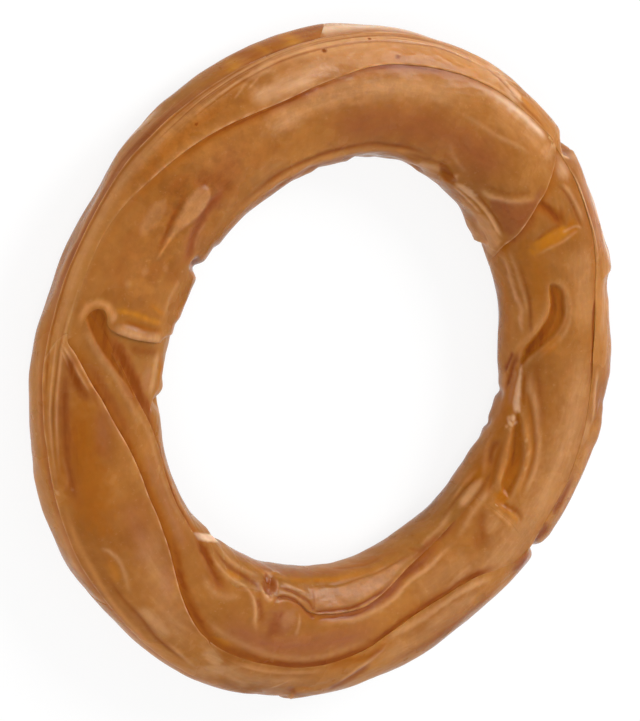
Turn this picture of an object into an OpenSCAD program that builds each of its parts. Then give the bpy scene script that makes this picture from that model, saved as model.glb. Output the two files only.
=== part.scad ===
// Pressed rawhide chew ring: a core of stacked hide strips, closed in by lapped wraps of hide.
// Places on the ring are given as a bearing, in degrees anticlockwise from +X seen from above,
// and a roll, in degrees round the section by arc length: 0 is the outer edge, 90 the crown of
// the front face, 180 the inner edge and 270 the back face that the ring rests on.

/* [Ring] */
// Outside diameter of the ring
ring_od = 150; // [110:1:200]
// Width of the section, from the outer edge to the inner edge
section_w = 28.8; // [24:0.2:36]
// Thickness of the section, from the front crown to the back crown
section_t = 19.4; // [16:0.2:26]
// Squareness of the section: 2 is an ellipse, more is boxier
section_power = 2.3; // [2:0.1:3.2]
// Depth that the press plate takes off the back crown
back_flat = 0.5; // [0.2:0.1:1.2]

/* [Hide] */
// Thickness of a wrap where it laps over its neighbour
lip_t = 1.8; // [1.2:0.1:2.6]
// Thickness of a wrap where it is tucked under its neighbour
tuck_t = 1.4; // [0.8:0.1:2.2]
// Width of a lap joint
lap_w = 5.6; // [3:0.2:8]
// Height of a lapped edge above the face beside it
lip_rise = 0.7; // [0:0.1:1.2]
// Depth that a tucked sheet sinks beside the seam
tuck_sink = 0.4; // [0:0.1:0.8]
// Width over which a raised edge or a sunk edge fades out
fade_w = 7; // [3:0.5:10]
// Clearance between pressed plies
ply_gap = 0.3; // [0.2:0.05:0.5]

/* [Core] */
// Gap between the two ends of a core strip, round the ring
strip_end_gap = 3; // [1:0.5:8]

/* [Hidden] */

LIP = 1;
BUTT = 0;
TUCK = -1;

radius_mid = (ring_od - section_w) / 2;
hide_t = lip_t + ply_gap + tuck_t;
rest_z = section_t / 2 - back_flat;

bearing_step = 5;
flap_step = 2;
roll_step = 10;
rim_lap_share = 0.35;
slope_step = 0.5;
arc_steps = 240;
strip_steps = 6;
strip_count = 4;

// The section's outline and the two ring coordinates

function bent(c) = sign(c) * pow(abs(c), 2 / section_power);
function outline(angle, depth) =
    [(section_w / 2 - depth) * bent(cos(angle)), (section_t / 2 - depth) * bent(sin(angle))];
function arc_piece(i) =
    norm(outline((i + 1) * 360 / arc_steps, 0) - outline(i * 360 / arc_steps, 0));
arc_sums = [
    for (i = 0, sum = 0; i <= arc_steps; sum = sum + arc_piece(i), i = i + 1)
        [sum, i * 360 / arc_steps]
];
perimeter = arc_sums[arc_steps][0];
angle_by_roll = [for (p = arc_sums) [p[0] * 360 / perimeter, p[1]]];

roll_per_mm = 360 / perimeter;
bearing_per_mm = 180 / (PI * radius_mid);
lap_roll = lap_w * roll_per_mm;
lap_bearing = lap_w * bearing_per_mm;
gap_roll = ply_gap * roll_per_mm;
// How far the edge at a sheet's thinned end is rounded out
nose_roll = gap_roll / 4;
gap_bearing = ply_gap * bearing_per_mm;
fade_roll = fade_w * roll_per_mm;

// A point of the hide at a bearing and a roll, so deep under the pressed surface.
// The press plate stops it at the flat that the ring rests on.
function skin(bearing, roll, depth) =
    let (
        turn = floor(roll / 360),
        p = outline(lookup(roll - 360 * turn, angle_by_roll), depth),
        r = radius_mid + p[0]
    )
    [r * cos(bearing), r * sin(bearing), max(p[1], -rest_z) + rest_z];

// A smooth curve through hand-placed knots [bearing, roll]
function knot_slope(knots, i) =
    let (a = knots[max(i - 1, 0)], b = knots[min(i + 1, len(knots) - 1)])
    (b[1] - a[1]) / (b[0] - a[0]);
function along(knots, bearing) =
    let (
        i = max([for (k = [0:len(knots) - 2]) if (k == 0 || knots[k][0] <= bearing) k]),
        a = knots[i],
        b = knots[i + 1],
        w = b[0] - a[0],
        t = (bearing - a[0]) / w
    )
    (1 + 2 * t) * pow(1 - t, 2) * a[1] + t * pow(1 - t, 2) * w * knot_slope(knots, i)
        + pow(t, 2) * (3 - 2 * t) * b[1] + pow(t, 2) * (t - 1) * w * knot_slope(knots, i + 1);

// Seams between the wraps

// The free end of the top wrap, then the seam along its outer side
top_edge = [
    [20, 226], [26, 196], [32, 165], [36, 133], [40, 97], [43, 70], [47, 50], [58, 50], [72, 53],
    [90, 58], [100, 63], [110, 66], [120, 61], [132, 50], [145, 38], [158, 31], [170, 30]
];
// The scalloped seam along the left and the bottom of the front face
low_edge = [
    [160, 30], [168, 31], [172, 41], [176, 56], [180, 72], [186, 90], [194, 104], [204, 110],
    [214, 104], [222, 92], [230, 77], [238, 67], [247, 62], [258, 62], [267, 66], [275, 75],
    [283, 86], [292, 91], [301, 87], [308, 77], [314, 64], [320, 55], [326, 53]
];
// The tail of the left wrap, which runs down over the lower one
left_tail = [[232, 74], [238, 67], [243, 56], [248, 42], [254, 28], [260, 18]];
// The seam along the outer side of the right wrap
right_edge = [
    [314, 57], [322, 54], [334, 56], [345, 62], [355, 69], [370, 68], [380, 60], [392, 55], [412, 50]
];
// The seam between the lower face and the two inner wraps
inner_edge = [
    [158, 62], [165, 68], [172, 84], [180, 104], [187, 122], [194, 134], [203, 139], [214, 139],
    [222, 135], [229, 128], [236, 127], [246, 132], [255, 132], [262, 122], [272, 121], [281, 128],
    [289, 140], [298, 147], [308, 151], [326, 156]
];
// The line round the outer edge where front and back meet
rim_edge = [
    [0, 16], [40, 16], [75, 17], [110, 17], [140, 14], [168, 13], [195, 19], [235, 19], [275, 16],
    [330, 16], [376, 16], [420, 17], [460, 17]
];
// The seam on the back face, where the inner wraps meet the back wraps
back_edge = [
    [0, 222], [35, 228], [70, 220], [105, 226], [140, 218], [170, 224], [205, 230], [240, 221],
    [275, 227], [310, 219], [345, 226], [395, 228], [430, 220], [460, 224]
];

// Bearings where one wrap ends and the next goes on
top_start = 20.5;
rim_right_end = 47;
top_end = 168;
rim_left_start = 170;
tail_start = 238;
lower_rim_start = 240.5;
left_rim_end = 256;
inner_split = 230;
right_start = 319;
back_split = [98, 218, 338];
// Half the stretch over which a seam changes from lying over to lying under
swap_half = 4;

// The seams as functions of the bearing
function full_turn(b) = b < rim_right_end ? b + 360 : b > 360 + rim_right_end ? b - 360 : b;
rim_line = function (b) along(rim_edge, full_turn(b));
back_line = function (b) along(back_edge, full_turn(b));
top_line = function (b) along(top_edge, b);
low_line = function (b) along(low_edge, b);
right_line = function (b) along(right_edge, b);
inner_line = function (b) along(inner_edge, b);
// The lower edge of the lower rim wrap: the left wrap's tail, then the rim
lower_rim_line = function (b) max(along(left_tail, b), rim_line(b));
// The outer seam of whichever rim wrap lies at a bearing
rim_top_line = function (b)
    b < rim_left_start ? top_line(b)
    : b < tail_start ? low_line(b)
    : b < left_rim_end + slope_step ? along(left_tail, b)
    : b < right_start ? low_line(b)
    : right_line(b);

// The laps as functions of the bearing, for the wrap that lies over. Below zero it lies under.
function swap_over(b, at) = max(-1, min(1, (at - b) / swap_half));
function narrow_lap(width) = min(lap_roll, rim_lap_share * width);
rim_lap = function (b)
    let (at = full_turn(b))
    narrow_lap(rim_top_line(at) - rim_line(at));
top_lap = function (b)
    let (over = swap_over(b, rim_right_end))
    over * (over > 0 ? narrow_lap(back_line(b) - top_line(b)) : rim_lap(b));
low_lap = function (b)
    b < tail_start || b > right_start ? rim_lap(b) : narrow_lap(low_line(b) - lower_rim_line(b));
inner_lap = function (b) lap_roll * swap_over(b, inner_split);
back_lap = function (b)
    let (at = full_turn(b) - 360)
    at > top_start ? narrow_lap(back_line(at) - top_line(at)) : lap_roll;
// The same seam seen from the wrap on its other side
function other_side(lap) = function (b) -lap(b);

// Wraps of hide

// Depth of the outer face near an edge: raised at a lip, sunk at a tuck
function edge_depth(distance, lap) =
    pow(max(0, 1 - distance / fade_roll), 2) * (lap > 0 ? -lip_rise : lap < 0 ? tuck_sink : 0);
// How far the lower half of a wrap stops short of its edge, or runs on past it
function lower_inset(lap, gap) = lap < 0 ? lap + gap : lap;
// The clearance along the roll, wider where a seam runs steeply across the hide
function seam_gap(line, b) =
    let (rise = (line(b + slope_step) - line(b - slope_step)) / (2 * slope_step))
    gap_roll * norm([1, rise * bearing_per_mm / roll_per_mm]);

// One section of a wrap as [roll, depth] points: outer face, upper edge, inner face, lower edge
function wrap_section(lo, hi, lap_lo, lap_hi, gap_lo, gap_hi, rows) =
    let (
        in_lo = lo + lower_inset(lap_lo, gap_lo),
        in_hi = hi - lower_inset(lap_hi, gap_hi),
        tuck_d = lip_t + ply_gap
    )
    concat(
        [
            for (i = [0:rows])
                let (roll = lo + (hi - lo) * i / rows)
                [roll, edge_depth(roll - lo, lap_lo) + edge_depth(hi - roll, lap_hi)]
        ],
        [[hi, lap_hi < 0 ? tuck_d : lip_t], [in_hi, lap_hi > 0 ? lip_t : tuck_d]],
        [for (i = [0:rows]) [in_hi + (in_lo - in_hi) * i / rows, hide_t]],
        [[in_lo, lap_lo > 0 ? lip_t : tuck_d], [lo, lap_lo < 0 ? tuck_d : lip_t]]
    );
// The upper half alone, where the end of a wrap laps over its neighbour
function lip_section(lo, hi, lap_lo, lap_hi, rows) =
    concat(
        [
            for (i = [0:rows])
                let (roll = lo + (hi - lo) * i / rows)
                [roll, edge_depth(roll - lo, lap_lo) + edge_depth(hi - roll, lap_hi)]
        ],
        [[hi + nose_roll, lip_t / 2], [hi, lip_t]],
        [for (i = [0:rows]) [hi - gap_roll - (hi - lo - 2 * gap_roll) * i / rows, lip_t]],
        [[lo, lip_t], [lo - nose_roll, lip_t / 2]]
    );
// The lower half alone, where the end of a wrap is tucked under its neighbour
function tuck_section(lo, hi, lap_lo, lap_hi, gap_lo, gap_hi, rows) =
    let (
        in_lo = lo + lower_inset(lap_lo, gap_lo),
        in_hi = hi - lower_inset(lap_hi, gap_hi),
        tuck_d = lip_t + ply_gap
    )
    concat(
        [for (i = [0:rows]) [in_lo + (in_hi - in_lo) * i / rows, tuck_d]],
        [[in_hi + nose_roll, tuck_d + tuck_t / 3], [in_hi + nose_roll, tuck_d + 2 * tuck_t / 3]],
        [for (i = [0:rows]) [in_hi + (in_lo - in_hi) * i / rows, hide_t]],
        [[in_lo - nose_roll, tuck_d + 2 * tuck_t / 3], [in_lo - nose_roll, tuck_d + tuck_t / 3]]
    );

// Bearings that all the wraps share, closer together along the top wrap's free end
one_turn_grid = concat(
    [for (b = [0:bearing_step:top_start]) b],
    [for (b = [ceil(top_start) + 1:flap_step:rim_right_end + swap_half]) b],
    [for (b = [rim_right_end + 2 * swap_half:bearing_step:360 - 1]) b]
);
station_grid = [for (turn = [0, 360], b = one_turn_grid) b + turn];

// Bearings of a wrap's sections, as [bearing, kind], from one end to the other
function first_stations(start, kind) =
    kind == LIP ? [
        [start + gap_bearing, LIP],
        [start + lap_bearing, LIP],
        [start + lap_bearing + gap_bearing, BUTT]
    ]
    : kind == TUCK ? [
        [start - lap_bearing + gap_bearing, TUCK],
        [start, TUCK],
        [start + gap_bearing, BUTT]
    ]
    : [[start + gap_bearing / 2, BUTT]];
function last_stations(end, kind) =
    let (first = first_stations(-end, kind))
    [for (i = [len(first) - 1:-1:0]) [-first[i][0], first[i][1]]];
function stations(start, end, start_kind, end_kind) =
    let (
        first = first_stations(start, start_kind),
        last = last_stations(end, end_kind),
        from = first[len(first) - 1][0],
        to = last[0][0]
    )
    concat(
        first,
        [for (b = station_grid) if (b > from + 1 && b < to - 1) [b, BUTT]],
        last
    );

// A wrap between two seams: lo, hi and the two laps are functions of the bearing
module wrap(start, end, start_kind, end_kind, lo, hi, lap_lo, lap_hi) {
    row = stations(start, end, start_kind, end_kind);
    widest = max([for (s = row) hi(s[0]) - lo(s[0])]);
    rows = max(3, ceil(widest / roll_step));
    sections = [
        for (s = row)
            let (
                b = s[0],
                gap_lo = seam_gap(lo, b),
                gap_hi = seam_gap(hi, b),
                low = lo(b) + gap_lo / 2,
                high = hi(b) - gap_hi / 2,
                cut = s[1] == LIP ? lip_section(low, high, lap_lo(b), lap_hi(b), rows)
                    : s[1] == TUCK ? tuck_section(low, high, lap_lo(b), lap_hi(b), gap_lo, gap_hi, rows)
                    : wrap_section(low, high, lap_lo(b), lap_hi(b), gap_lo, gap_hi, rows)
            )
            [for (p = cut) skin(b, p[0], p[1])]
    ];
    count = len(sections[0]);
    last = len(row) - 1;
    sides = [
        for (s = [0:last - 1], i = [0:count - 1])
            let (
                a = s * count + i,
                b = s * count + (i + 1) % count
            )
            each [[a, b, b + count], [a, b + count, a + count]]
    ];
    ends = [
        [for (i = [count - 1:-1:0]) i],
        [for (i = [0:count - 1]) last * count + i]
    ];
    polyhedron([for (s = sections) each s], concat(sides, ends), convexity = 6);
}

module top_face_wrap()
    color("#b0703a")
    wrap(top_start, top_end, BUTT, LIP, top_line, back_line, top_lap, back_lap);

module right_face_wrap()
    color("#a9672f")
    wrap(right_start, 360 + rim_right_end, LIP, BUTT, right_line,
        function (b) b < 360 + top_start ? back_line(b) : top_line(b - 360),
        other_side(rim_lap),
        function (b) b < 360 + top_start ? back_lap(b) : -top_lap(b - 360));

module lower_face_wrap()
    color("#ad6c35")
    wrap(top_end, right_start, TUCK, TUCK, low_line, inner_line, other_side(low_lap), inner_lap);

module inner_left_wrap()
    color("#a5632c")
    wrap(top_end, inner_split, TUCK, BUTT, inner_line, back_line, other_side(inner_lap), back_lap);

module inner_lower_wrap()
    color("#c08d62")
    wrap(inner_split, right_start, BUTT, TUCK, inner_line, back_line, other_side(inner_lap), back_lap);

module upper_rim_wrap()
    color("#b57a44")
    wrap(rim_right_end, rim_left_start, BUTT, BUTT, rim_line, top_line, rim_lap, other_side(top_lap));

module left_rim_wrap()
    color("#a4622c")
    wrap(rim_left_start, left_rim_end, BUTT, BUTT, rim_line, rim_top_line, rim_lap,
        function (b) b < tail_start ? low_lap(b) : 0);

module lower_rim_wrap()
    color("#aa6a33")
    wrap(lower_rim_start, right_start, BUTT, BUTT, lower_rim_line, low_line,
        function (b) b < left_rim_end ? 0 : rim_lap(b), low_lap);

module right_rim_wrap()
    color("#b0713a")
    wrap(right_start, 360 + rim_right_end, BUTT, BUTT, rim_line, right_line, rim_lap, rim_lap);

// One of the sheets over the back, tucked under its neighbours on both sides
module back_wrap(i)
    color("#b4791f")
    wrap(back_split[i], back_split[i] + 360 / len(back_split), LIP, TUCK, back_line,
        function (b) rim_line(b) + 360, other_side(back_lap), other_side(rim_lap));

module back_left_wrap() back_wrap(0);
module back_lower_wrap() back_wrap(1);
module back_right_wrap() back_wrap(2);

// Core strips

// Half the core's width at a height above its middle
function core_half(z) =
    let (
        half_w = section_w / 2 - hide_t - ply_gap,
        half_t = section_t / 2 - hide_t - ply_gap
    )
    half_w * pow(max(0, 1 - pow(abs(z) / half_t, section_power)), 1 / section_power);

// A flat strip bent round the ring, its ends a little apart, counted from the back
module core_strip(i) {
    half_t = section_t / 2 - hide_t - ply_gap;
    strip_t = 2 * half_t / strip_count;
    from = -half_t + i * strip_t + (i == 0 ? ply_gap : ply_gap / 2);
    to = -half_t + (i + 1) * strip_t - (i == strip_count - 1 ? ply_gap : ply_gap / 2);
    heights = [for (k = [0:strip_steps]) from + (to - from) * k / strip_steps];
    edge = [for (z = heights) [core_half(z), z]];
    end_angle = strip_end_gap * bearing_per_mm;
    color("#c9a06a")
        translate([0, 0, rest_z])
        rotate([0, 0, i * 360 / strip_count + end_angle / 2])
        rotate_extrude(angle = 360 - end_angle, $fn = 120)
        polygon(concat(
            [for (p = edge) [radius_mid + p[0], p[1]]],
            [for (k = [strip_steps:-1:0]) [radius_mid - edge[k][0], edge[k][1]]]
        ));
}

module core_strip_1() core_strip(0);
module core_strip_2() core_strip(1);
module core_strip_3() core_strip(2);
module core_strip_4() core_strip(3);

top_face_wrap();
right_face_wrap();
lower_face_wrap();
inner_left_wrap();
inner_lower_wrap();
upper_rim_wrap();
left_rim_wrap();
lower_rim_wrap();
right_rim_wrap();
back_left_wrap();
back_lower_wrap();
back_right_wrap();
core_strip_1();
core_strip_2();
core_strip_3();
core_strip_4();
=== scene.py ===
import math

import bmesh
import bpy
import numpy as np
from mathutils import Matrix, Vector


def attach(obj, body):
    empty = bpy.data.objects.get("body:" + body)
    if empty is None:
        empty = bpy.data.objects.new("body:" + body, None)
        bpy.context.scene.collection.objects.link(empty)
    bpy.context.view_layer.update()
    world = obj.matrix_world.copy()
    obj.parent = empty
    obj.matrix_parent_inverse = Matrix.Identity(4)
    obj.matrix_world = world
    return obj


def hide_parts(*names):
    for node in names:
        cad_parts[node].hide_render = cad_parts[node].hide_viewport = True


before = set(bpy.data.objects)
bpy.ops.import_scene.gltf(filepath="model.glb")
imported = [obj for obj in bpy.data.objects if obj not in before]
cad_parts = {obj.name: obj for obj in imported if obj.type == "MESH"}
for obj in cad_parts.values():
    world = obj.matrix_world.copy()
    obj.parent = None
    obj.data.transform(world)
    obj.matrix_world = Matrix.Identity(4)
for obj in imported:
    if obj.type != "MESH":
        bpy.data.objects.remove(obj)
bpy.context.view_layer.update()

print("frame loaded")

# The ring's form, in mm. A place on the hide is a bearing, in degrees anticlockwise from +X seen
# from above, and a distance across the hide, from the outer edge over the front face and on round.

ringMid = 60.6  # axis of the ring to the middle of the section
halfWide = 14.4
halfThick = 9.7
boxiness = 2.3  # 2 is an ellipse, more is squarer
restHeight = 9.2  # middle of the section above the floor
flatDepth = 0.5  # the lowest part of the back is pressed flat over this depth
fullTurn = 360.0
mm = 0.001

plyThick = 1.6  # one layer of hide
coreDepth = -3.4  # no sheet reaches deeper, where the core lies
tuckDepth = 1.85  # a tucked layer under the pressed surface
tuckRun = 4.5  # how far a tucked layer runs on under its neighbour
fallStart = 0.5  # how far under a lip a tucked layer starts to drop
fallWide = 1.7  # over which it drops
lipShare = 0.65  # how much of a lip's lift is left after pressing
lipFade = 3.2  # over which a raised lip settles
dipShare = 0.4  # and how much of the dip beside it
dipFade = 1.6  # over which the sunk side comes up again
endThick = 0.75  # a sheet thinned at its lapped end
lipPaleWide = 0.38  # the pale cut edge of a lip, partly a painted highlight where it catches the light
seamShadeWide = 1.5  # the painted shade on the hide beside a seam's lip
sharpLip = 0.02  # rounding of a lip that lies flat
roundLip = 0.38  # and what a lip with its full lift adds to it
fullLift = 0.4
thinReach = (6.5, 10.0)  # from its end, where a lapped sheet takes its full thickness
leastThick = 0.12
leastRoom = 0.4  # between the two seams of a sheet
plyGap = 0.05  # between a lip and the layer that it lies on
bendReach = 14.0  # degrees over which a sheet takes up the line of its end
slopeReach = 0.25  # degrees to each side, for the slope of a seam
tuckShare = 0.6  # a narrow sheet tucks by this share of its width
tuckLeast = 1.0  # and this much more

creaseReach = 5  # squares over which a crease is told from the hide round it
# how strongly the relief is painted: painted shade in the creases, paler ridges
creaseShadeAndPale = 0.8
creaseDark = 0.5  # the most that painted shade darkens a crease
edgePale = 0.4  # and that a ridge pales
paleLift = 0.35  # the lift at which a cut lip shows in full
lipPale = 0.85
lipBroken = 0.25  # how unevenly it shows
darkDip = 0.5  # the dip at which the painted shade beside a seam is darkest
# the painted shade beside a seam's lip, dark and amber
seamShade = 0.65
seamAmber = 0.9
pocketFade = 5.0  # a sheet that dips wide into the pocket on the left
degreeOnRing = 180.0 / (math.pi * ringMid)  # degrees for each mm along the middle of the section

turnSteps = np.linspace(0.0, 2.0 * math.pi, 1441)
bentCos = np.sign(np.cos(turnSteps)) * np.abs(np.cos(turnSteps)) ** (2.0 / boxiness)
bentSin = np.sign(np.sin(turnSteps)) * np.abs(np.sin(turnSteps)) ** (2.0 / boxiness)
outX = halfWide * bentCos
outZ = halfThick * bentSin
outRun = np.concatenate(([0.0], np.cumsum(np.hypot(np.diff(outX), np.diff(outZ)))))
girth = outRun[-1]
normalX = np.sign(bentCos) * np.abs(bentCos) ** (boxiness - 1.0) / halfWide
normalZ = np.sign(bentSin) * np.abs(bentSin) ** (boxiness - 1.0) / halfThick
normalLong = np.hypot(normalX, normalZ)


def radiusAt(across):
    return ringMid + np.interp(np.mod(across, girth), outRun, outX)


# mm along the ring for each degree
def perDegree(across):
    return radiusAt(across) * math.pi / 180.0


def onSkin(bearing, across, height):
    run = np.mod(across, girth)
    x = np.interp(run, outRun, outX) + height * np.interp(run, outRun, normalX / normalLong)
    z = np.interp(run, outRun, outZ) + height * np.interp(run, outRun, normalZ / normalLong)
    turn = np.radians(bearing)
    radius = ringMid + x
    low = np.maximum(flatDepth - restHeight - z, 0.0)
    up = np.maximum(z + restHeight, flatDepth) - flatDepth * (1.0 - np.exp(-low / flatDepth))
    return np.stack((radius * np.cos(turn), radius * np.sin(turn), up), axis=-1) * mm


# Small tools for curves and shapes

def knotCurve(knots, at):
    x = np.array([k[0] for k in knots], float)
    y = np.array([k[1] for k in knots], float)
    slope = np.empty_like(y)
    slope[1:-1] = (y[2:] - y[:-2]) / (x[2:] - x[:-2])
    slope[0] = (y[1] - y[0]) / (x[1] - x[0])
    slope[-1] = (y[-1] - y[-2]) / (x[-1] - x[-2])
    i = np.clip(np.searchsorted(x, at, side="right") - 1, 0, len(x) - 2)
    w = x[i + 1] - x[i]
    t = (at - x[i]) / w
    first = (1 + 2 * t) * (1 - t) ** 2 * y[i] + t * (1 - t) ** 2 * w * slope[i]
    second = t ** 2 * (3 - 2 * t) * y[i + 1] + t ** 2 * (t - 1) * w * slope[i + 1]
    return first + second


def knotLevel(knots, at):
    return np.interp(at, [k[0] for k in knots], [k[1] for k in knots])


def levelAt(level, at):
    if isinstance(level, list):
        return knotLevel(level, at)
    return np.full(at.shape, level)


def ease(low, high, at):
    t = np.clip((at - low) / (high - low), 0.0, 1.0)
    return t * t * (3.0 - 2.0 * t)


def finePath(points, pieces=6):
    if len(points) < 3:
        return np.array(points, float)
    order = np.arange(len(points), dtype=float)
    steps = np.linspace(0.0, order[-1], (len(points) - 1) * pieces + 1)
    bearing = knotCurve(list(zip(order, [p[0] for p in points])), steps)
    across = knotCurve(list(zip(order, [p[1] for p in points])), steps)
    return np.stack((bearing, across), axis=1)


def nearPath(path, bearing, across):
    radius = perDegree(across)
    best = np.full(bearing.shape, 1e9)
    side = np.zeros(bearing.shape)
    share = np.zeros(bearing.shape)
    count = len(path) - 1
    for k in range(count):
        dx = (bearing - path[k, 0]) * radius
        dy = across - path[k, 1]
        ex = (path[k + 1, 0] - path[k, 0]) * radius
        ey = path[k + 1, 1] - path[k, 1]
        t = np.clip((dx * ex + dy * ey) / np.maximum(ex * ex + ey * ey, 1e-9), 0.0, 1.0)
        away = np.hypot(dx - t * ex, dy - t * ey)
        closer = away < best
        best = np.where(closer, away, best)
        side = np.where(closer, np.sign(ex * dy - ey * dx), side)
        share = np.where(closer, (k + t) / count, share)
    return best, side, share


# Soft waves that close round the ring and round the section
def waves(bearing, across, seed, along, wide, count=18):
    dice = np.random.RandomState(seed)
    total = np.zeros(bearing.shape)
    for k in range(count):
        turns = round(2 * math.pi * ringMid / along * dice.uniform(0.5, 1.6))
        laps = round(girth / wide * dice.uniform(-1.6, 1.6))
        phase = dice.uniform(0.0, 2.0 * math.pi)
        total += np.sin(np.radians(bearing) * turns + across * 2 * math.pi * laps / girth + phase)
    return total / math.sqrt(count / 2.0)


def blurred(grid, reach):
    result = grid
    for axis in (0, 1):
        padding = [(reach + 1, reach) if axis == a else (0, 0) for a in (0, 1)]
        sums = np.cumsum(np.pad(result, padding, mode="edge"), axis=axis)
        count = 2 * reach + 1
        if axis == 0:
            result = (sums[count:, :] - sums[:-count, :]) / count
        else:
            result = (sums[:, count:] - sums[:, :-count]) / count
    return result


# Marks pressed and torn into the hide. Each is a height in mm and colours by name: stains, and in some
# marks painted shade or painted highlight.

def fold(path, high, wide, ends=(0.25, 0.25), colourWide=None, **stainsAndShading):
    return dict(kind="fold", path=path, high=high, wide=wide, ends=ends,
                colourWide=colourWide or wide, stainsAndShading=stainsAndShading)


# A step along a path: the hide to the left of the way it runs stands higher
def step(path, high, wide, fade, ends=(0.2, 0.2), **stainsAndShading):
    return dict(kind="step", path=path, high=high, wide=wide, fade=fade, ends=ends,
                colourWide=wide, stainsAndShading=stainsAndShading)


def blot(at, size, high, turn=0.0, **stainsAndShading):
    return dict(kind="blot", at=at, size=size, high=high, turn=turn, stainsAndShading=stainsAndShading)


# A patch inside a closed outline
def patch(path, high, edge, **stainsAndShading):
    return dict(kind="patch", path=path, high=high, edge=edge, stainsAndShading=stainsAndShading)


# Colour alone, along a path or round a spot
def wash(path, wide, ends=(0.25, 0.25), **stainsAndShading):
    return fold(path, 0.0, wide, ends, **stainsAndShading)


def tint(at, size, turn=0.0, **stainsAndShading):
    return blot(at, size, 0.0, turn, **stainsAndShading)


def nextTurn(path):
    return [(bearing + fullTurn, across) for bearing, across in path]


stainAndShadingNames = ("groove", "pale", "amber", "gold", "blush", "chalk", "stripe", "spots")
wander = 0.1  # mm and degrees that a mark strays from its drawn path
ragged = 0.15  # how unevenly its colour ends
blotReach = 2.2  # how far a mark is worked out, in its own sizes
foldReach = 3.0
fadeReach = 6.0
patchReach = 2.0  # mm past its soft edge
bearingReach = 1.6  # degrees for each mm, also on the inner edge


def withinLoop(loop, bearing, across):
    odd = np.zeros(bearing.shape, dtype=bool)
    for (x, y), (nextX, nextY) in zip(loop[:-1], loop[1:]):
        if y != nextY:
            between = (y > across) != (nextY > across)
            odd ^= between & (bearing < x + (across - y) * (nextX - x) / (nextY - y))
    return odd


# The box that a mark can reach, as (first, last) bearing and across
def markReach(mark):
    if mark["kind"] == "blot":
        spots = np.array([mark["at"]], float)
        far = blotReach * max(mark["size"])
    else:
        spots = np.array(mark["path"], float)
        if mark["kind"] == "patch":
            far = patchReach + mark["edge"]
        else:
            far = max(foldReach * max(mark["wide"], mark["colourWide"]), fadeReach * mark.get("fade", 0.0))
    low = spots.min(axis=0) - (bearingReach * far, far)
    high = spots.max(axis=0) + (bearingReach * far, far)
    return low, high


def pressMarks(marks, bearing, across, height, stainsAndShading):
    uneven = 0.6 * waves(bearing, across, 71, 4.5, 3.5) + 0.4 * waves(bearing, across, 73, 2.4, 1.8)
    uneven = 1.0 + ragged * np.clip(uneven, -2.0, 2.0)
    across = across + wander * waves(bearing, across, 61, 20.0, 12.0)
    bearing = bearing + wander * waves(bearing, across, 67, 18.0, 12.0)
    for mark in marks:
        low, high = markReach(mark)
        near = (bearing > low[0]) & (bearing < high[0]) & (across > low[1]) & (across < high[1])
        b, a, rough = bearing[near], across[near], uneven[near]
        if mark["kind"] == "blot":
            dx = (b - mark["at"][0]) * perDegree(a)
            dy = a - mark["at"][1]
            c = math.cos(math.radians(mark["turn"]))
            s = math.sin(math.radians(mark["turn"]))
            far = ((c * dx + s * dy) / mark["size"][0]) ** 2 + ((c * dy - s * dx) / mark["size"][1]) ** 2
            shape = np.exp(-far * far * 0.7 - far * 0.3)
            far = far * rough ** 2
            colourShape = np.exp(-far * far * 0.7 - far * 0.3)
        elif mark["kind"] == "patch":
            loop = finePath(mark["path"] + mark["path"][:1], 4)
            away = nearPath(loop, b, a)[0]
            away = np.where(withinLoop(loop, b, a), away, -away)
            shape = ease(-mark["edge"], mark["edge"], away)
            colourShape = ease(-mark["edge"], mark["edge"], away + 1.2 * mark["edge"] * (1.0 - rough))
        else:
            away, side, share = nearPath(finePath(mark["path"]), b, a)
            taper = ease(-0.001, mark["ends"][0], share) * ease(-0.001, mark["ends"][1], 1.0 - share)
            colourShape = np.exp(-(away * rough / mark["colourWide"]) ** 2) * taper
            if mark["kind"] == "fold":
                shape = np.exp(-(away / mark["wide"]) ** 2) * taper
            else:
                rise = ease(-mark["wide"], mark["wide"], side * away)
                shape = rise * np.exp(-np.maximum(side * away, 0.0) / mark["fade"]) * taper
        height[near] += mark["high"] * shape
        for name, strength in mark["stainsAndShading"].items():
            stainsAndShading[name][near] = np.maximum(stainsAndShading[name][near], strength * colourShape)


# Seams that two sheets share: the line as (bearing, across), then how far the upper sheet's lip
# stands up and the lower sheet dips beside it, as (bearing, mm)

topSeam = dict(
    line=[(20, 49.2), (26, 42.7), (32, 36.5), (34, 34), (36, 30), (38, 26), (39.5, 23), (40.5, 20),
          (42, 17), (44, 13), (46, 10.6), (50, 10.4), (58, 10.8), (70, 11.2), (80, 11.8), (90, 12.2),
          (95, 12.8), (100, 13.7), (110, 14.5), (115, 14.3), (120, 13.5), (130, 11.3), (140, 9.3),
          (147, 7.6), (153, 6.9), (160, 6.9), (171, 7)],
    lift=[(20, 0.02), (29, 0.04), (34, 0.25), (40, 0.3), (46, 0.1), (60, 0.08), (70, 0.2), (90, 0.3),
          (110, 0.35), (125, 0.3), (140, 0.2), (150, 0.12), (160, 0.05), (171, 0.0)],
    dip=[(20, 0.05), (29, 0.1), (34, 0.4), (38, 0.5), (44, 0.3), (50, 0.1), (62, 0.2), (70, 0.45),
         (100, 0.65), (120, 0.6), (135, 0.35), (150, 0.15), (171, 0.05)])
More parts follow.
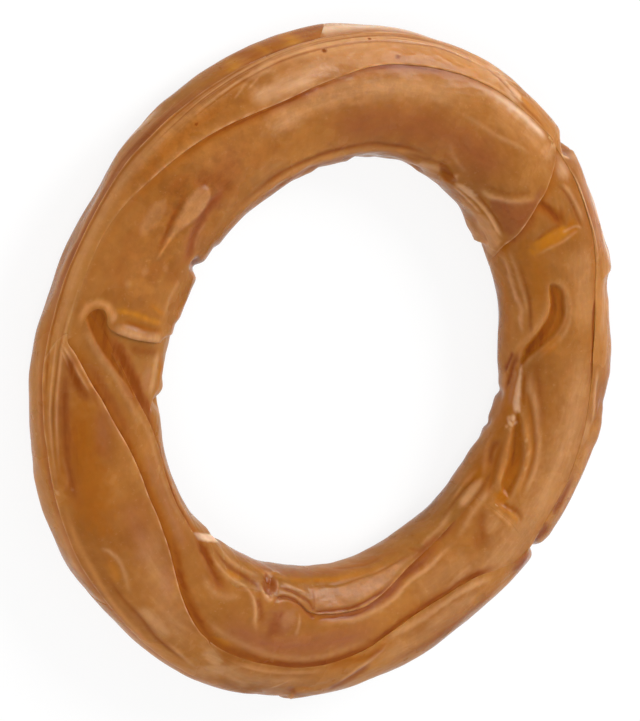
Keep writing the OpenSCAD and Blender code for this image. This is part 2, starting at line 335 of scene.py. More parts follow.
lowSeam = dict(
    line=[(160, 6.9), (168, 6.9), (170.5, 7.2), (172, 9), (174, 11), (177, 13.5), (180, 16), (185, 19),
          (190, 21.5), (195, 23), (200, 23.8), (208, 24.1), (215, 23), (220, 21.3), (225, 19),
          (230, 16.8), (235, 15), (240, 14.1), (246, 13.8), (254, 13.8), (262, 14), (268, 14.8),
          (275, 16.2), (280, 18), (285, 19.5), (290, 20.3), (296, 20.3), (301, 19.8), (305, 18.9),
          (308, 17.5), (311, 15.5), (314, 13.4), (317, 12), (326, 11.5)],
    lift=[(160, 0.02), (170, 0.12), (176, 0.35), (190, 0.45), (210, 0.45), (225, 0.35), (238, 0.15),
          (244, 0.02), (262, 0.0), (285, 0.02), (302, 0.02), (312, 0.0), (319, 0.0), (326, 0.0)],
    dip=[(160, 0.05), (170, 0.2), (178, 0.6), (195, 0.8), (215, 0.8), (230, 0.6), (240, 0.3), (246, 0.15),
         (262, 0.12), (290, 0.2), (304, 0.2), (311, 0.1), (316, 0.05), (319, 0.03), (326, 0.0)])
leftTail = dict(
    line=[(230, 16.9), (235, 15.2), (240, 13.2), (245, 11), (250, 9.3), (254, 7.2), (256, 5.6),
          (258, 4.4), (260, 3.7)],
    lift=[(232, 0.25), (238, 0.1), (243, 0.02), (248, 0.0), (260, 0.0)],
    dip=[(232, 0.3), (238, 0.15), (243, 0.06), (248, 0.02), (260, 0.02)])
innerSeam = dict(
    line=[(158, 8), (163, 9), (166.5, 13), (170, 16.5), (174, 20), (178, 22.7), (182, 25.2), (186, 27.5),
          (190, 29), (195, 30), (203, 30.2), (212, 30.1), (219, 30), (224, 29), (228, 27.8), (234, 27.8),
          (240, 28.5), (246, 28.9), (252, 29), (257, 28.4), (260, 26.9), (263, 26.3), (270, 26.2),
          (276, 26.6), (281, 27.8), (286, 29.4), (291, 30.9), (296, 31.7), (302, 32.3), (308, 32.7),
          (314, 32.7), (326, 32.4)],
    lift=[(158, 0.02), (180, 0.04), (190, 0.1), (205, 0.06), (226, 0.03), (234, 0.0), (255, 0.02),
          (262, 0.15), (280, 0.18), (300, 0.06), (312, 0.0), (326, 0.0)],
    dip=[(158, 0.2), (166, 0.3), (172, 0.5), (178, 0.7), (190, 0.6), (205, 0.4), (220, 0.35), (228, 0.15),
         (233, 0.05), (238, 0.08), (250, 0.15), (258, 0.3), (264, 0.8), (282, 0.8), (296, 0.5), (306, 0.15),
         (326, 0.03)])
rightSeam = dict(
    line=[(314, 12.2), (319, 11.8), (323, 12.3), (328, 12.5), (334, 12.3), (340, 12.8), (346, 13.6),
          (352, 14.8), (357, 15.3), (361, 15.8), (366, 15.6), (371, 15.3), (375, 14.8), (380, 13.3),
          (386, 12.3), (391, 11.9), (398, 11.3), (403, 11.1), (412, 10.8)],
    lift=[(314, 0.0), (322, 0.03), (335, 0.02), (350, 0.03), (363, 0.05), (375, 0.06), (385, 0.12),
          (398, 0.08), (412, 0.0)],
    dip=[(314, 0.0), (320, 0.06), (325, 0.15), (334, 0.1), (348, 0.12), (363, 0.2), (376, 0.25),
         (390, 0.3), (403, 0.15), (412, 0.0)])
rimSeam = dict(
    line=[(0, 3.5), (40, 3.5), (70, 3.9), (110, 3.9), (125, 3.3), (145, 2.6), (168, 2.6), (195, 4.1),
          (235, 4.1), (275, 3.5), (330, 3.5), (376, 3.5), (420, 3.8), (470, 3.9)],
    lift=[(0, 0.15), (60, 0.2), (90, 0.3), (120, 0.3), (170, 0.2), (470, 0.2)],
    dip=[(0, 0.3), (60, 0.3), (90, 0.5), (120, 0.4), (170, 0.4), (470, 0.35)])
backSeam = dict(
    line=[(0, 48.3), (35, 49.6), (70, 47.9), (105, 49.2), (140, 47.4), (170, 48.8), (205, 50.1),
          (240, 48.1), (275, 49.4), (310, 47.7), (345, 49.2), (395, 49.6), (430, 47.9), (470, 49.2)],
    lift=[(0, 0.3), (470, 0.3)],
    dip=[(0, 0.4), (470, 0.4)])
backRim = dict(rimSeam, lap=girth)  # the rim's seam as the back meets it, a full girth round


# Where a sheet's edge follows one seam and then another
def joined(first, second, at, shift=0.0, half=0.5):
    made = {}
    for key, reader in (("line", knotCurve), ("lift", knotLevel), ("dip", knotLevel)):
        made[key] = [k for k in first[key] if k[0] < at - half]
        made[key].append((at - half, float(reader(first[key], at - half))))
        made[key].append((at + half, float(reader(second[key], at + half - shift))))
        made[key] += [(k[0] + shift, k[1]) for k in second[key] if k[0] + shift > at + half]
    return made


# Place across, tilt, lift and dip of a seam
def seamAt(edge, bearing):
    line = edge["line"]
    across = knotCurve(line, bearing) + edge.get("lap", 0.0)
    rise = knotCurve(line, bearing + slopeReach) - knotCurve(line, bearing - slopeReach)
    slope = rise / (2.0 * slopeReach * perDegree(across))
    tilt = 1.0 / np.sqrt(1.0 + slope ** 2)
    return across, tilt, knotLevel(edge["lift"], bearing), knotLevel(edge["dip"], bearing)


# The outer face beside a seam: over is 1 where the sheet lies on top and 0 where it is tucked
def besideSeam(away, over, lift, dip, fade=dipFade):
    roundness = sharpLip + roundLip * np.clip(lift / fullLift, 0.0, 1.0)
    inside = np.clip(away, 0.0, roundness)
    bend = np.sqrt(np.maximum(roundness ** 2 - (roundness - inside) ** 2, 0.0)) - roundness
    lip = lipShare * lift * np.exp(-(np.maximum(away, 0.0) / lipFade) ** 2) + bend
    tuck = underSeam(away, dip, fade)
    return over * lip + (1.0 - over) * tuck


def underSeam(away, dip, fade=dipFade):
    sunk = -dipShare * dip * np.exp(-np.maximum(away, 0.0) / fade)
    return sunk - (tuckDepth - dipShare * dip) * ease(-fallStart, -fallStart - fallWide, away)


edgeShares = np.array((0.0, 0.05, 0.13, 0.25, 0.42, 0.66))  # rows crowded towards a rounded edge
edgeWide = 1.5
edgeMost = 0.25  # of a narrow sheet's width
frontEnd = 38.5  # where the front face ends, across the hide; past it a sheet is plainer
frontLeast = 0.35  # of a sheet's width has the fine rows
backRoom = 6.0  # how far a sheet runs past the front before its rows widen
backPitch = 4.0  # and by how much they widen
leastRows = 6
# height, seed, length and width of the soft waves that all the hide has, and how many are summed
swells = ((0.1, 11, 34.0, 26.0, 18), (0.035, 23, 13.0, 7.0, 18), (0.012, 37, 6.0, 2.2, 30))


# Places from low to high: count of them up to the bend, then wider ones
def crowded(low, high, count, bend=None, later=0):
    wide = np.minimum(edgeWide, edgeMost * (high - low))
    first = low + wide
    last = high - wide
    middle = last
    if bend is not None:
        middle = first + (last - first) * np.clip((bend - first) / (last - first), frontLeast, 1.0)
    rows = [low + wide * s for s in edgeShares]
    rows += [first + (middle - first) * k / count for k in range(count + 1)]
    rows += [middle + (last - middle) * (k + 1) / later for k in range(later)]
    rows += [high - wide * s for s in edgeShares[::-1]]
    return np.stack(rows)


# One sheet of hide: a flat slab of fine squares, laid on the ring between two seams
def layHide(node, slot, start, end, low, high, lowOver, highOver, startOver, endOver, pitch, marks,
            startLine=None, endLine=None, startLift=0.3, endLift=0.3, startDip=0.4, endDip=0.4,
            startFade=dipFade):
    first = start / degreeOnRing - (tuckRun if startOver < 0 else 0.0)
    last = end / degreeOnRing + (tuckRun if endOver < 0 else 0.0)
    columns = int((end - start) / degreeOnRing / pitch)
    bearings = crowded(np.array(first), np.array(last), columns) * degreeOnRing
    lowAt, lowTilt, lowLift, lowDip = seamAt(low, bearings)
    highAt, highTilt, highLift, highDip = seamAt(high, bearings)
    lowShare = knotLevel(lowOver, bearings)
    highShare = knotLevel(highOver, bearings)
    room = np.maximum(highAt - lowAt, leastRoom)
    highAt = lowAt + room
    tuck = np.minimum(tuckRun, tuckShare * room + tuckLeast)
    bottom = lowAt - (1.0 - lowShare) * tuck
    top = highAt + (1.0 - highShare) * tuck
    if np.max(top) > frontEnd + backRoom and np.min(bottom) < frontEnd:
        rowCount = int((frontEnd - np.min(bottom)) / pitch)
        backCount = int((np.max(top) - frontEnd) / (backPitch * pitch))
        across = crowded(bottom, top, rowCount, frontEnd, backCount)
    else:
        across = crowded(bottom, top, max(leastRows, int(np.max(top - bottom) / pitch)))
    bearing = np.broadcast_to(bearings, across.shape).copy()
    for line, at, way in ((endLine, end, -1.0), (startLine, start, 1.0)):
        if line:
            near = ease(at + way * bendReach, at + way, bearing)
            bearing += near * (knotCurve(line, np.clip(across, line[0][0], line[-1][0])) - at)

    height = np.zeros(across.shape)
    for tall, seed, along, wide, count in swells:
        height += tall * waves(bearing, across, seed, along, wide, count)
    stainsAndShading = {s: np.zeros(across.shape) for s in stainAndShadingNames}
    pressMarks(marks, bearing, across, height, stainsAndShading)

    pressed = height.copy()
    sides = (((across - lowAt) * lowTilt, lowShare, lowLift, lowDip),
             ((highAt - across) * highTilt, highShare, highLift, highDip))
    for away, over, lift, dip in sides:
        height += besideSeam(away, over, lift, dip)
    ends = (((bearings - start) * perDegree(across), startOver, startLift, startDip, startFade),
            ((end - bearings) * perDegree(across), endOver, endLift, endDip, dipFade))
    for away, over, lift, dip, fade in ends:
        if over:
            height += besideSeam(away, max(over, 0), levelAt(lift, across), levelAt(dip, across), fade)

    broken = 1.0 - lipBroken + lipBroken * waves(bearing, across, 51, 5.0, 4.0)
    paintShadeAndWear(stainsAndShading, height, sides, broken)
    inner = innerFace(height, pressed, sides, ends)
    outerPlace = onSkin(bearing, across, height)
    innerPlace = onSkin(bearing, across, inner)
    makeSheet(node, slot, bearing, across, outerPlace, innerPlace, stainsAndShading)


# A layer's thickness down, but a lip lies on the tucked layer below it and a lapped end is thinned
def innerFace(height, pressed, sides, ends):
    inner = height - plyThick
    for away, over, lift, dip in sides:
        below = pressed + underSeam(-away, dip) + plyGap
        inner = np.where(over > 0.5, np.maximum(inner, below), inner)
    for away, over, lift, dip, fade in ends:
        if over > 0:
            thick = endThick + (plyThick - endThick) * ease(thinReach[0], thinReach[1], away)
            inner = np.maximum(inner, height - thick)
    return np.minimum(np.maximum(inner, coreDepth), height - leastThick)


# Painted shade darkens the creases and the ridges are paled; a cut lip shows pale, partly as a painted
# highlight, and painted shade darkens the sheet beside it
def paintShadeAndWear(stainsAndShading, height, sides, broken):
    hollow = creaseShadeAndPale * (blurred(height, creaseReach) - height)
    shadeAndWear = [("groove", np.clip(hollow, 0.0, creaseDark)), ("pale", np.clip(-hollow, 0.0, edgePale))]
    for away, over, lift, dip in sides:
        # the pale cut edge of a lip, partly a painted highlight
        cut = np.exp(-(away / lipPaleWide) ** 2) * over * np.clip(lift / paleLift, 0.0, 1.0) * broken
        # painted shade on the tucked sheet beside the lip, deeper as it dips
        beside = np.exp(-(np.maximum(away, 0.0) / seamShadeWide) ** 2) * (1.0 - over)
        shade = beside * np.clip(dip / darkDip, 0.0, 1.0)
        shadeAndWear.append(("pale", lipPale * np.clip(cut, 0.0, 1.0)))
        shadeAndWear.append(("groove", seamShade * shade))
        shadeAndWear.append(("amber", seamAmber * shade))
    for paint, share in shadeAndWear:
        stainsAndShading[paint] = np.maximum(stainsAndShading[paint], share)


def makeSheet(node, slot, bearing, across, outerPlace, innerPlace, stainsAndShading):
    name = node + "_hide"
    rows, columns = across.shape
    bm = bmesh.new()
    bmesh.ops.create_grid(bm, x_segments=columns - 1, y_segments=rows - 1, size=0.5)
    bmesh.ops.solidify(bm, geom=bm.faces[:], thickness=1.0)
    mesh = bpy.data.meshes.new(name)
    bm.to_mesh(mesh)
    bm.free()
    flat = np.empty(len(mesh.vertices) * 3)
    mesh.vertices.foreach_get("co", flat)
    flat = flat.reshape(-1, 3)
    i = np.rint((flat[:, 0] + 0.5) * (columns - 1)).astype(int)
    j = np.rint((flat[:, 1] + 0.5) * (rows - 1)).astype(int)
    inside = flat[:, 2] < -0.5
    place = np.where(inside[:, None], innerPlace[j, i], outerPlace[j, i])
    mesh.vertices.foreach_set("co", place.ravel())
    for paint in stainAndShadingNames:
        layer = mesh.attributes.new(paint, "FLOAT", "POINT")
        layer.data.foreach_set("value", np.where(inside, 0.0, stainsAndShading[paint][j, i]))
    corner = np.empty(len(mesh.loops), dtype=np.int32)
    mesh.loops.foreach_get("vertex_index", corner)
    lay = np.stack((np.radians(bearing[j, i]) * ringMid * mm, across[j, i] * mm), axis=1)
    layer = mesh.uv_layers.new(name="hide")
    layer.data.foreach_set("uv", lay[corner].ravel())
    mesh.polygons.foreach_set("use_smooth", np.ones(len(mesh.polygons), dtype=bool))
    mesh.update()
    piece = bpy.data.objects.new(name, mesh)
    bpy.context.scene.collection.objects.link(piece)
    mesh.materials.append(hideOf[slot])
    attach(piece, "root")
    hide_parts(node)


# Rawhide: mottled, fibrous and a little glossy, and light sinks into it

def nodeGroup(name, inputs, outputs):
    group = bpy.data.node_groups.new(name, "ShaderNodeTree")
    for label, kind in inputs:
        group.interface.new_socket(label, in_out="INPUT", socket_type=kind)
    for label, kind in outputs:
        group.interface.new_socket(label, in_out="OUTPUT", socket_type=kind)
    return group, group.nodes.new("NodeGroupInput"), group.nodes.new("NodeGroupOutput")


def noiseNode(nodes, links, place, scale, detail, roughness):
    node = nodes.new("ShaderNodeTexNoise")
    node.inputs["Scale"].default_value = scale
    node.inputs["Detail"].default_value = detail
    node.inputs["Roughness"].default_value = roughness
    links.new(place, node.inputs["Vector"])
    return node.outputs[0]


# The hide's own lay, drawn out: so many marks for each metre along it and across it
def stretched(nodes, links, start, along, across):
    node = nodes.new("ShaderNodeMapping")
    node.inputs["Scale"].default_value = (along, across, 1.0)
    links.new(start.outputs["Lay"], node.inputs["Vector"])
    return node.outputs[0]


def rangeNode(nodes, links, value, low, high, toLow=0.0, toHigh=1.0):
    node = nodes.new("ShaderNodeMapRange")
    node.interpolation_type = "SMOOTHSTEP"
    node.inputs["From Min"].default_value = low
    node.inputs["From Max"].default_value = high
    node.inputs["To Min"].default_value = toLow
    node.inputs["To Max"].default_value = toHigh
    links.new(value, node.inputs[0])
    return node.outputs[0]


def readAttribute(nodes, name):
    node = nodes.new("ShaderNodeAttribute")
    node.attribute_name = name
    return node.outputs["Fac"]


def mathNode(nodes, links, operation, first, second):
    node = nodes.new("ShaderNodeMath")
    node.operation = operation
    for socket, value in zip(node.inputs, (first, second)):
        if isinstance(value, float):
            socket.default_value = value
        else:
            links.new(value, socket)
    return node.outputs[0]


def mixNode(nodes, links, share, first, second, blend="MIX"):
    node = nodes.new("ShaderNodeMix")
    node.data_type = "RGBA"
    node.blend_type = blend
    links.new(share, node.inputs["Factor"])
    for socket, value in ((node.inputs[6], first), (node.inputs[7], second)):
        if isinstance(value, tuple):
            socket.default_value = (*value, 1.0)
        else:
            links.new(value, socket)
    return node.outputs[2]


# Cloudy mottling, fine flecks and streaks along the hide
def makeMottle():
    group, start, finish = nodeGroup(
        "hideMottle",
        [("Place", "NodeSocketVector"), ("Lay", "NodeSocketVector")],
        [(label, "NodeSocketFloat") for label in ("Cloud", "Grime", "Tone", "Fleck", "Streak", "Thread")])
    nodes = group.nodes
    links = group.links
    place = start.outputs["Place"]
    cloud = noiseNode(nodes, links, place, 52.0, 4.0, 0.56)
    grime = noiseNode(nodes, links, place, 170.0, 5.0, 0.64)
    tone = noiseNode(nodes, links, place, 420.0, 5.0, 0.72)
    fleck = noiseNode(nodes, links, place, 1100.0, 2.0, 0.6)
    streak = noiseNode(nodes, links, stretched(nodes, links, start, 60.0, 420.0), 1.0, 4.0, 0.6)
    thread = noiseNode(nodes, links, stretched(nodes, links, start, 22.0, 1900.0), 1.0, 3.0, 0.6)
    for label, noise, low, high in (("Cloud", cloud, 0.28, 0.74), ("Grime", grime, 0.48, 0.72),
                                    ("Tone", tone, 0.3, 0.7), ("Fleck", fleck, 0.6, 0.78),
                                    ("Streak", streak, 0.35, 0.7), ("Thread", thread, 0.38, 0.64)):
        links.new(rangeNode(nodes, links, noise, low, high), finish.inputs[label])
    return group


poreShare = 0.22
fibreShare = 0.4
grainStrength = 0.25
grainDeep = 0.0004


# Pores and fibres as a height for the bump
def makeGrain():
    group, start, finish = nodeGroup(
        "hideGrain",
        [("Place", "NodeSocketVector"), ("Lay", "NodeSocketVector")],
        [("Height", "NodeSocketFloat")])
    nodes = group.nodes
    links = group.links
    pore = noiseNode(nodes, links, start.outputs["Place"], 1500.0, 3.0, 0.6)
    fibre = noiseNode(nodes, links, stretched(nodes, links, start, 180.0, 1100.0), 1.0, 4.0, 0.65)
    swell = noiseNode(nodes, links, start.outputs["Place"], 330.0, 3.0, 0.55)
    small = mathNode(nodes, links, "MULTIPLY", pore, poreShare)
    thread = mathNode(nodes, links, "MULTIPLY", fibre, fibreShare)
    both = mathNode(nodes, links, "ADD", small, thread)
    links.new(mathNode(nodes, links, "ADD", both, swell), finish.inputs["Height"])
    return group


mottle = makeMottle()
grain = makeGrain()

# The groove colour also lays the painted shade in creases and beside lips, and the pale and chalk colours
# also lay painted highlights
grooveColour = (0.225, 0.048, 0.0005)
amberColour = (0.44, 0.145, 0.003)
goldColour = (0.72, 0.3, 0.006)
blushColour = (0.29, 0.09, 0.034)
paleColour = (0.66, 0.36, 0.17)
chalkColour = (0.78, 0.56, 0.4)
grimeColour = (0.2, 0.07, 0.01)
stainAndShadingLooks = (("amber", amberColour, 1.1), ("gold", goldColour, 1.1), ("blush", blushColour, 1.1),
              ("pale", paleColour, 1.0), ("chalk", chalkColour, 1.0), ("groove", grooveColour, 1.35))
streakShare = 0.2
fleckShare = 0.16
stripeShare = 0.6
dullStripe = (0.55, 0.0)
grimeShare = (0.09, 0.55)  # in plain hide and in spotted hide
toneShare = (0.2, 0.75)
toneSpread = (0.8, 1.2)
colourSpread = (0.72, 1.1)  # a colour takes up unevenly
glossLow = 0.06  # below and above a hide's own roughness
glossHigh = 0.1
hideShader = {"IOR": 1.45, "Specular IOR Level": 0.13, "Subsurface Weight": 0.65,
              "Subsurface Radius": (1.0, 0.4, 0.12), "Subsurface Scale": 0.0006}


def makeHide(name, dark, light, gloss):
    material = bpy.data.materials.new(name)
    material.use_nodes = True
    nodes = material.node_tree.nodes
    links = material.node_tree.links
    shader = nodes["Principled BSDF"]
    place = nodes.new("ShaderNodeTexCoord")
    lay = nodes.new("ShaderNodeUVMap")
    lay.uv_map = "hide"
    spots = nodes.new("ShaderNodeGroup")
    spots.node_tree = mottle
    bumps = nodes.new("ShaderNodeGroup")
    bumps.node_tree = grain
    for group in (spots, bumps):
        links.new(place.outputs["Object"], group.inputs["Place"])
        links.new(lay.outputs[0], group.inputs["Lay"])
    colour = mixNode(nodes, links, spots.outputs["Cloud"], dark, light)
    streak = mathNode(nodes, links, "MULTIPLY", spots.outputs["Streak"], streakShare)
    colour = mixNode(nodes, links, streak, colour, light)
    spotted = readAttribute(nodes, "spots")
    grimeLevel = rangeNode(nodes, links, spotted, 0.0, 1.0, *grimeShare)
    grime = mathNode(nodes, links, "MULTIPLY", spots.outputs["Grime"], grimeLevel)
    colour = mixNode(nodes, links, grime, colour, grimeColour)
    fleck = mathNode(nodes, links, "MULTIPLY", spots.outputs["Fleck"], fleckShare)
    colour = mixNode(nodes, links, fleck, colour, paleColour)
    stripe = readAttribute(nodes, "stripe")
    dull = rangeNode(nodes, links, spots.outputs["Thread"], 0.0, 1.0, *dullStripe)
    for share, shade in ((dull, grooveColour), (spots.outputs["Thread"], paleColour)):
        striped = mathNode(nodes, links, "MULTIPLY", share, stripe)
        striped = mathNode(nodes, links, "MULTIPLY", striped, stripeShare)
        colour = mixNode(nodes, links, striped, colour, shade)
    uneven = rangeNode(nodes, links, spots.outputs["Streak"], 0.0, 1.0, *colourSpread)
    for paint, shade, strength in stainAndShadingLooks:
        share = mathNode(nodes, links, "MULTIPLY", readAttribute(nodes, paint), uneven)
        share = mathNode(nodes, links, "MULTIPLY", share, strength)
        colour = mixNode(nodes, links, share, colour, shade)
    tone = rangeNode(nodes, links, spots.outputs["Tone"], 0.0, 1.0, *toneSpread)
    toneLevel = rangeNode(nodes, links, spotted, 0.0, 1.0, *toneShare)
    colour = mixNode(nodes, links, toneLevel, colour, tone, "MULTIPLY")
    links.new(colour, shader.inputs["Base Color"])
    rough = rangeNode(nodes, links, spots.outputs["Cloud"], 0.0, 1.0, gloss - glossLow, gloss + glossHigh)
    links.new(rough, shader.inputs["Roughness"])
    bump = nodes.new("ShaderNodeBump")
    bump.inputs["Strength"].default_value = grainStrength
    bump.inputs["Distance"].default_value = grainDeep
    links.new(bumps.outputs["Height"], bump.inputs["Height"])
    links.new(bump.outputs[0], shader.inputs["Normal"])
    for label, value in hideShader.items():
        shader.inputs[label].default_value = value
    return material


hideOf = dict(
    face_hide=makeHide("face_hide", (0.255, 0.082, 0.007), (0.4, 0.156, 0.03), 0.24),
    inner_hide=makeHide("inner_hide", (0.245, 0.085, 0.01), (0.37, 0.15, 0.03), 0.26),
    rim_hide=makeHide("rim_hide", (0.272, 0.086, 0.008), (0.435, 0.174, 0.036), 0.23),
    back_hide=makeHide("back_hide", (0.28, 0.095, 0.006), (0.42, 0.165, 0.026), 0.25),
    core_hide=makeHide("core_hide", (0.46, 0.26, 0.11), (0.62, 0.4, 0.2), 0.6))
print("materials made")

# Where a sheet lies over its neighbour, and how far it dips into the pocket at its start
always = [(0, 1), (900, 1)]
never = [(0, 0), (900, 0)]
pocketDip = [(5, 0.0), (9, 0.1), (12, 1.1), (50, 1.1)]

# The top wrap, with its free end on the right and its rolled end on the left
topFaceWrap = dict(
    start=20.5, end=168.0, low=topSeam, high=backSeam,
    lowOver=[(20, 1), (46.4, 1), (46.8, 0), (171, 0)], highOver=always, startOver=0, endOver=1, pitch=0.38,
    endLine=[(4, 170.5), (7, 170), (8.8, 168.4), (9.7, 165.8), (10.6, 164.4), (11.8, 163.8), (12.9, 163.9),
             (13.7, 164.8), (14.3, 166.1), (15.6, 167), (20, 167.8), (25, 168), (30, 167.8), (40, 168),
             (52, 168)],
    endLift=[(5, 0.0), (9, 0.1), (15, 0.2), (22, 0.4), (28, 0.35), (34, 0.3), (50, 0.3)],
    marks=[
        # the corner darkened with painted shade along the free end's edge, and the soft crease inside the
        # free end
        patch([(36.2, 31.4), (38.3, 26.8), (40.2, 23.2), (42.6, 25.6), (45.2, 28), (48.6, 30.6), (47, 32),
               (41, 32.4), (37, 32.3)], -0.12, 0.7, blush=0.6, groove=0.3),
        wash([(38.5, 27.5), (40.5, 23.5), (42, 19.5)], 0.8, blush=0.6),
        fold([(40.6, 22.6), (43, 25.8), (46, 28.4), (50, 30.6), (55, 31.2)], 0.14, 0.5, colourWide=0.7,
             pale=0.5),
        fold([(42.6, 22.6), (46, 26.2), (50, 28.7), (55, 30)], -0.08, 0.5, groove=0.35),
        fold([(60, 30.2), (64, 29.6), (68, 28), (70.5, 25.3)], 0.04, 0.6, pale=0.22),
        fold([(48, 17), (55, 18.6), (62, 19.7), (74, 19.4)], 0.05, 0.6, pale=0.3),
        wash([(46, 14.5), (54, 14.6), (66, 16)], 2.6, pale=0.25, amber=0.3),
        # a white band along the rim below the free end: painted highlight, a narrow one inside a wider
        # paler one
        fold([(47.6, 11.9), (54, 11.9), (60, 12), (68, 12.4), (77, 12.9)], 0.2, 0.8, ends=(0.15, 0.6),
             pale=0.85, chalk=0.7),
        wash([(48, 12.6), (54, 12.6), (60, 12.8), (66, 13), (74, 13.4)], 2.2, ends=(0.2, 0.6), pale=0.45),
        tint((138, 18), (28.0, 9.0), groove=0.13, spots=0.6),
        tint((104, 17), (26.0, 4.0), spots=0.5),
        # painted shade on the face at the foot of the rim's lip
        fold([(b, a + 0.45) for b, a in topSeam["line"] if 66 < b < 148], -0.08, 0.45, ends=(0.1, 0.3),
             groove=0.8),
        # lines along the inner edge
        fold([(36, 32.7), (46, 32.9), (55, 32.4)], -0.14, 0.4, groove=0.55),
        tint((55.8, 33.6), (3.2, 0.9), pale=0.8, chalk=0.25),
        fold([(35.4, 33.7), (46, 33.9), (59.6, 33.6)], 0.18, 0.45, colourWide=0.5, pale=0.8),
        fold([(45, 35.5), (52, 35.4), (60, 35)], 0.15, 0.4, pale=0.75),
        fold([(38, 36.6), (46, 37.2), (56, 37)], 0.05, 1.2, pale=0.3),
        patch([(59.8, 34.4), (62, 34.9), (65.4, 34), (67.6, 32.6), (68.6, 31.5), (66, 31.5), (62.4, 32.4),
               (60, 33.4)], -0.2, 0.35, groove=0.7, amber=0.6),
        patch([(35.4, 34.2), (33.4, 36.6), (30.5, 40), (36, 40.5), (42, 38.8), (46, 36.2), (44, 34.6),
               (39, 34.3)], 0.05, 0.6, pale=0.4, amber=0.2),
        fold([(60.4, 35), (61.2, 33), (62.6, 31.4)], 0.12, 0.5, pale=0.5),
        fold([(64, 31.6), (71, 31.4), (82, 31.8)], -0.12, 0.5, groove=0.45),
        tint((70.6, 33.4), (3.6, 1.1), pale=0.55, chalk=0.1),
        fold([(64, 35.8), (72, 34.4), (82, 33)], 0.05, 1.0, pale=0.35, blush=0.4),
        fold([(66, 40), (74, 38), (84, 36.6), (90, 36.6), (95, 37.6)], -0.9, 3.2, ends=(0.2, 0.15)),
        fold([(65, 40.7), (72, 39.9), (78, 38.8), (86, 37.8)], -1.5, 2.8, ends=(0.25, 0.35)),
        fold([(33.5, 43.4), (37, 43.1), (42, 42.8), (49, 42.2)], 1.5, 2.8, ends=(0.16, 0.5)),
        fold([(149.4, 34.6), (155, 34.4), (163.4, 34.4)], 0.65, 3.0, ends=(0.1, 0.15)),
        fold([(104, 37.5), (120, 36.5), (142, 36)], 0.6, 3.5, ends=(0.1, 0.06)),
        fold([(68, 30.4), (90, 29.9), (112, 29.4), (134, 28.9)], -0.15, 0.55, groove=0.6),
        fold([(72, 31.6), (95, 31.6), (140, 30.8)], 0.15, 1.0, pale=0.3, amber=0.4),
        wash([(88, 33.4), (105, 33.2), (135, 32.6)], 1.0, groove=0.4, stripe=1.0),
        # a darker crown over paler, more open hide: the pale band is a painted reflection of a soft box,
        # whose edge makes the line between them
        fold([(50, 25.8), (60, 25.6), (75, 25), (95, 24.6), (107, 25)], -0.05, 4.2, groove=0.28,
             blush=0.5),
        wash([(88, 25), (97, 24.6), (104, 26)], 2.6, groove=0.25),
        wash([(66, 15.2), (82, 16.6), (100, 17.2), (121, 16.8)], 2.6, pale=0.42),
        tint((86, 16.6), (3.0, 2.4), pale=0.25),
        tint((113, 18.4), (5.0, 2.4), pale=0.5),
        tint((112.6, 15.8), (5.4, 1.5), pale=0.35),
        wash([(95, 15.2), (101, 15.4), (108, 15.8)], 1.6, pale=0.55),
        tint((46.6, 13.8), (2.0, 1.8), pale=0.5),
        tint((121, 26.5), (5.0, 2.4), pale=0.12),
        # the tongue and its folds
        patch([(134.6, 19.8), (135.6, 21.4), (138.5, 22.2), (141.5, 21.6), (145, 20.3), (149, 19.7),
               (151.5, 19.3), (147, 18.9), (142, 18.6), (139.6, 17.8), (137, 17.6), (135.2, 18.4)], 0.35,
              0.5, pale=0.4, amber=0.2),
        fold([(146, 19.8), (149, 19.4), (151.5, 19.4)], 0.08, 0.5, amber=1.0),
        fold([(131.5, 26.5), (131.2, 22), (133.6, 18), (138, 16.6)], -0.25, 1.9, colourWide=2.2,
             groove=0.55, blush=0.3),
        tint((130.6, 20.6), (6.0, 4.4), turn=30.0, groove=0.34, blush=0.35),
        fold([(137, 16.4), (142, 17.4), (147, 18.4), (151.5, 18.8)], -0.2, 0.8, groove=0.6),
        fold([(129, 23), (134, 22.9), (138, 22.8), (142, 23.9), (146, 25.4), (150, 27.2)], -0.35, 1.1,
             colourWide=1.3, groove=0.55, blush=1.0),
        fold([(139, 24.6), (143, 25.2), (146, 26.6)], 0.1, 0.4, pale=0.35),
        fold([(147.4, 27.5), (148.2, 31), (148.2, 35), (148, 40)], -1.5, 1.4, groove=0.5, blush=0.8),
        patch([(141.6, 14), (143.4, 15.4), (146.4, 15.2), (149.4, 14), (148, 12.6), (144, 12.4)], 0.1,
              0.6, pale=0.22),
        blot((138, 14.4), (3.4, 1.8), -0.05, groove=0.35),
        blot((154, 20.4), (3.2, 2.6), -0.05, groove=0.3),
        blot((154.8, 18.4), (1.0, 0.7), 0.06, pale=0.35),
        blot((152.4, 22.4), (0.7, 0.9), 0.06, pale=0.3),
        blot((158.2, 15.6), (0.8, 1.0), 0.05, pale=0.3),
        fold([(152, 27.2), (158, 27), (163, 27.4)], 0.05, 0.6, pale=0.3),
        tint((154.4, 13.4), (8.0, 3.2), groove=0.27),
        tint((121, 22), (4.8, 2.6), groove=0.26),
        blot((152, 24.5), (3.0, 2.0), -0.05, groove=0.3),
        # the rolled end and the loop below it
        fold([(163, 14.5), (163.1, 18), (163.4, 24), (163.6, 28)], 0.06, 0.6, gold=0.2, amber=0.7),
        wash([(160, 22), (161, 25), (161.6, 28)], 0.5, amber=0.7),
        fold([(166, 15), (166.6, 18), (167, 22), (167.1, 26), (166.8, 28.8)], 0.3, 0.9, colourWide=1.0,
             pale=0.6),
        fold([(164.6, 16.5), (165.1, 20), (165.3, 25), (165.1, 28)], -0.2, 0.6, groove=0.5, amber=0.6),
        fold([(165.2, 15.2), (163.4, 13.8), (162.9, 11.6), (163.8, 9.7), (165.8, 8.9), (168.5, 9)], 0.2,
             0.7, pale=0.5, amber=1.0),
        blot((164.3, 15), (1.1, 0.8), 0.2, pale=0.4),
        blot((167.7, 33), (1.3, 3.8), -1.4, groove=0.3)])

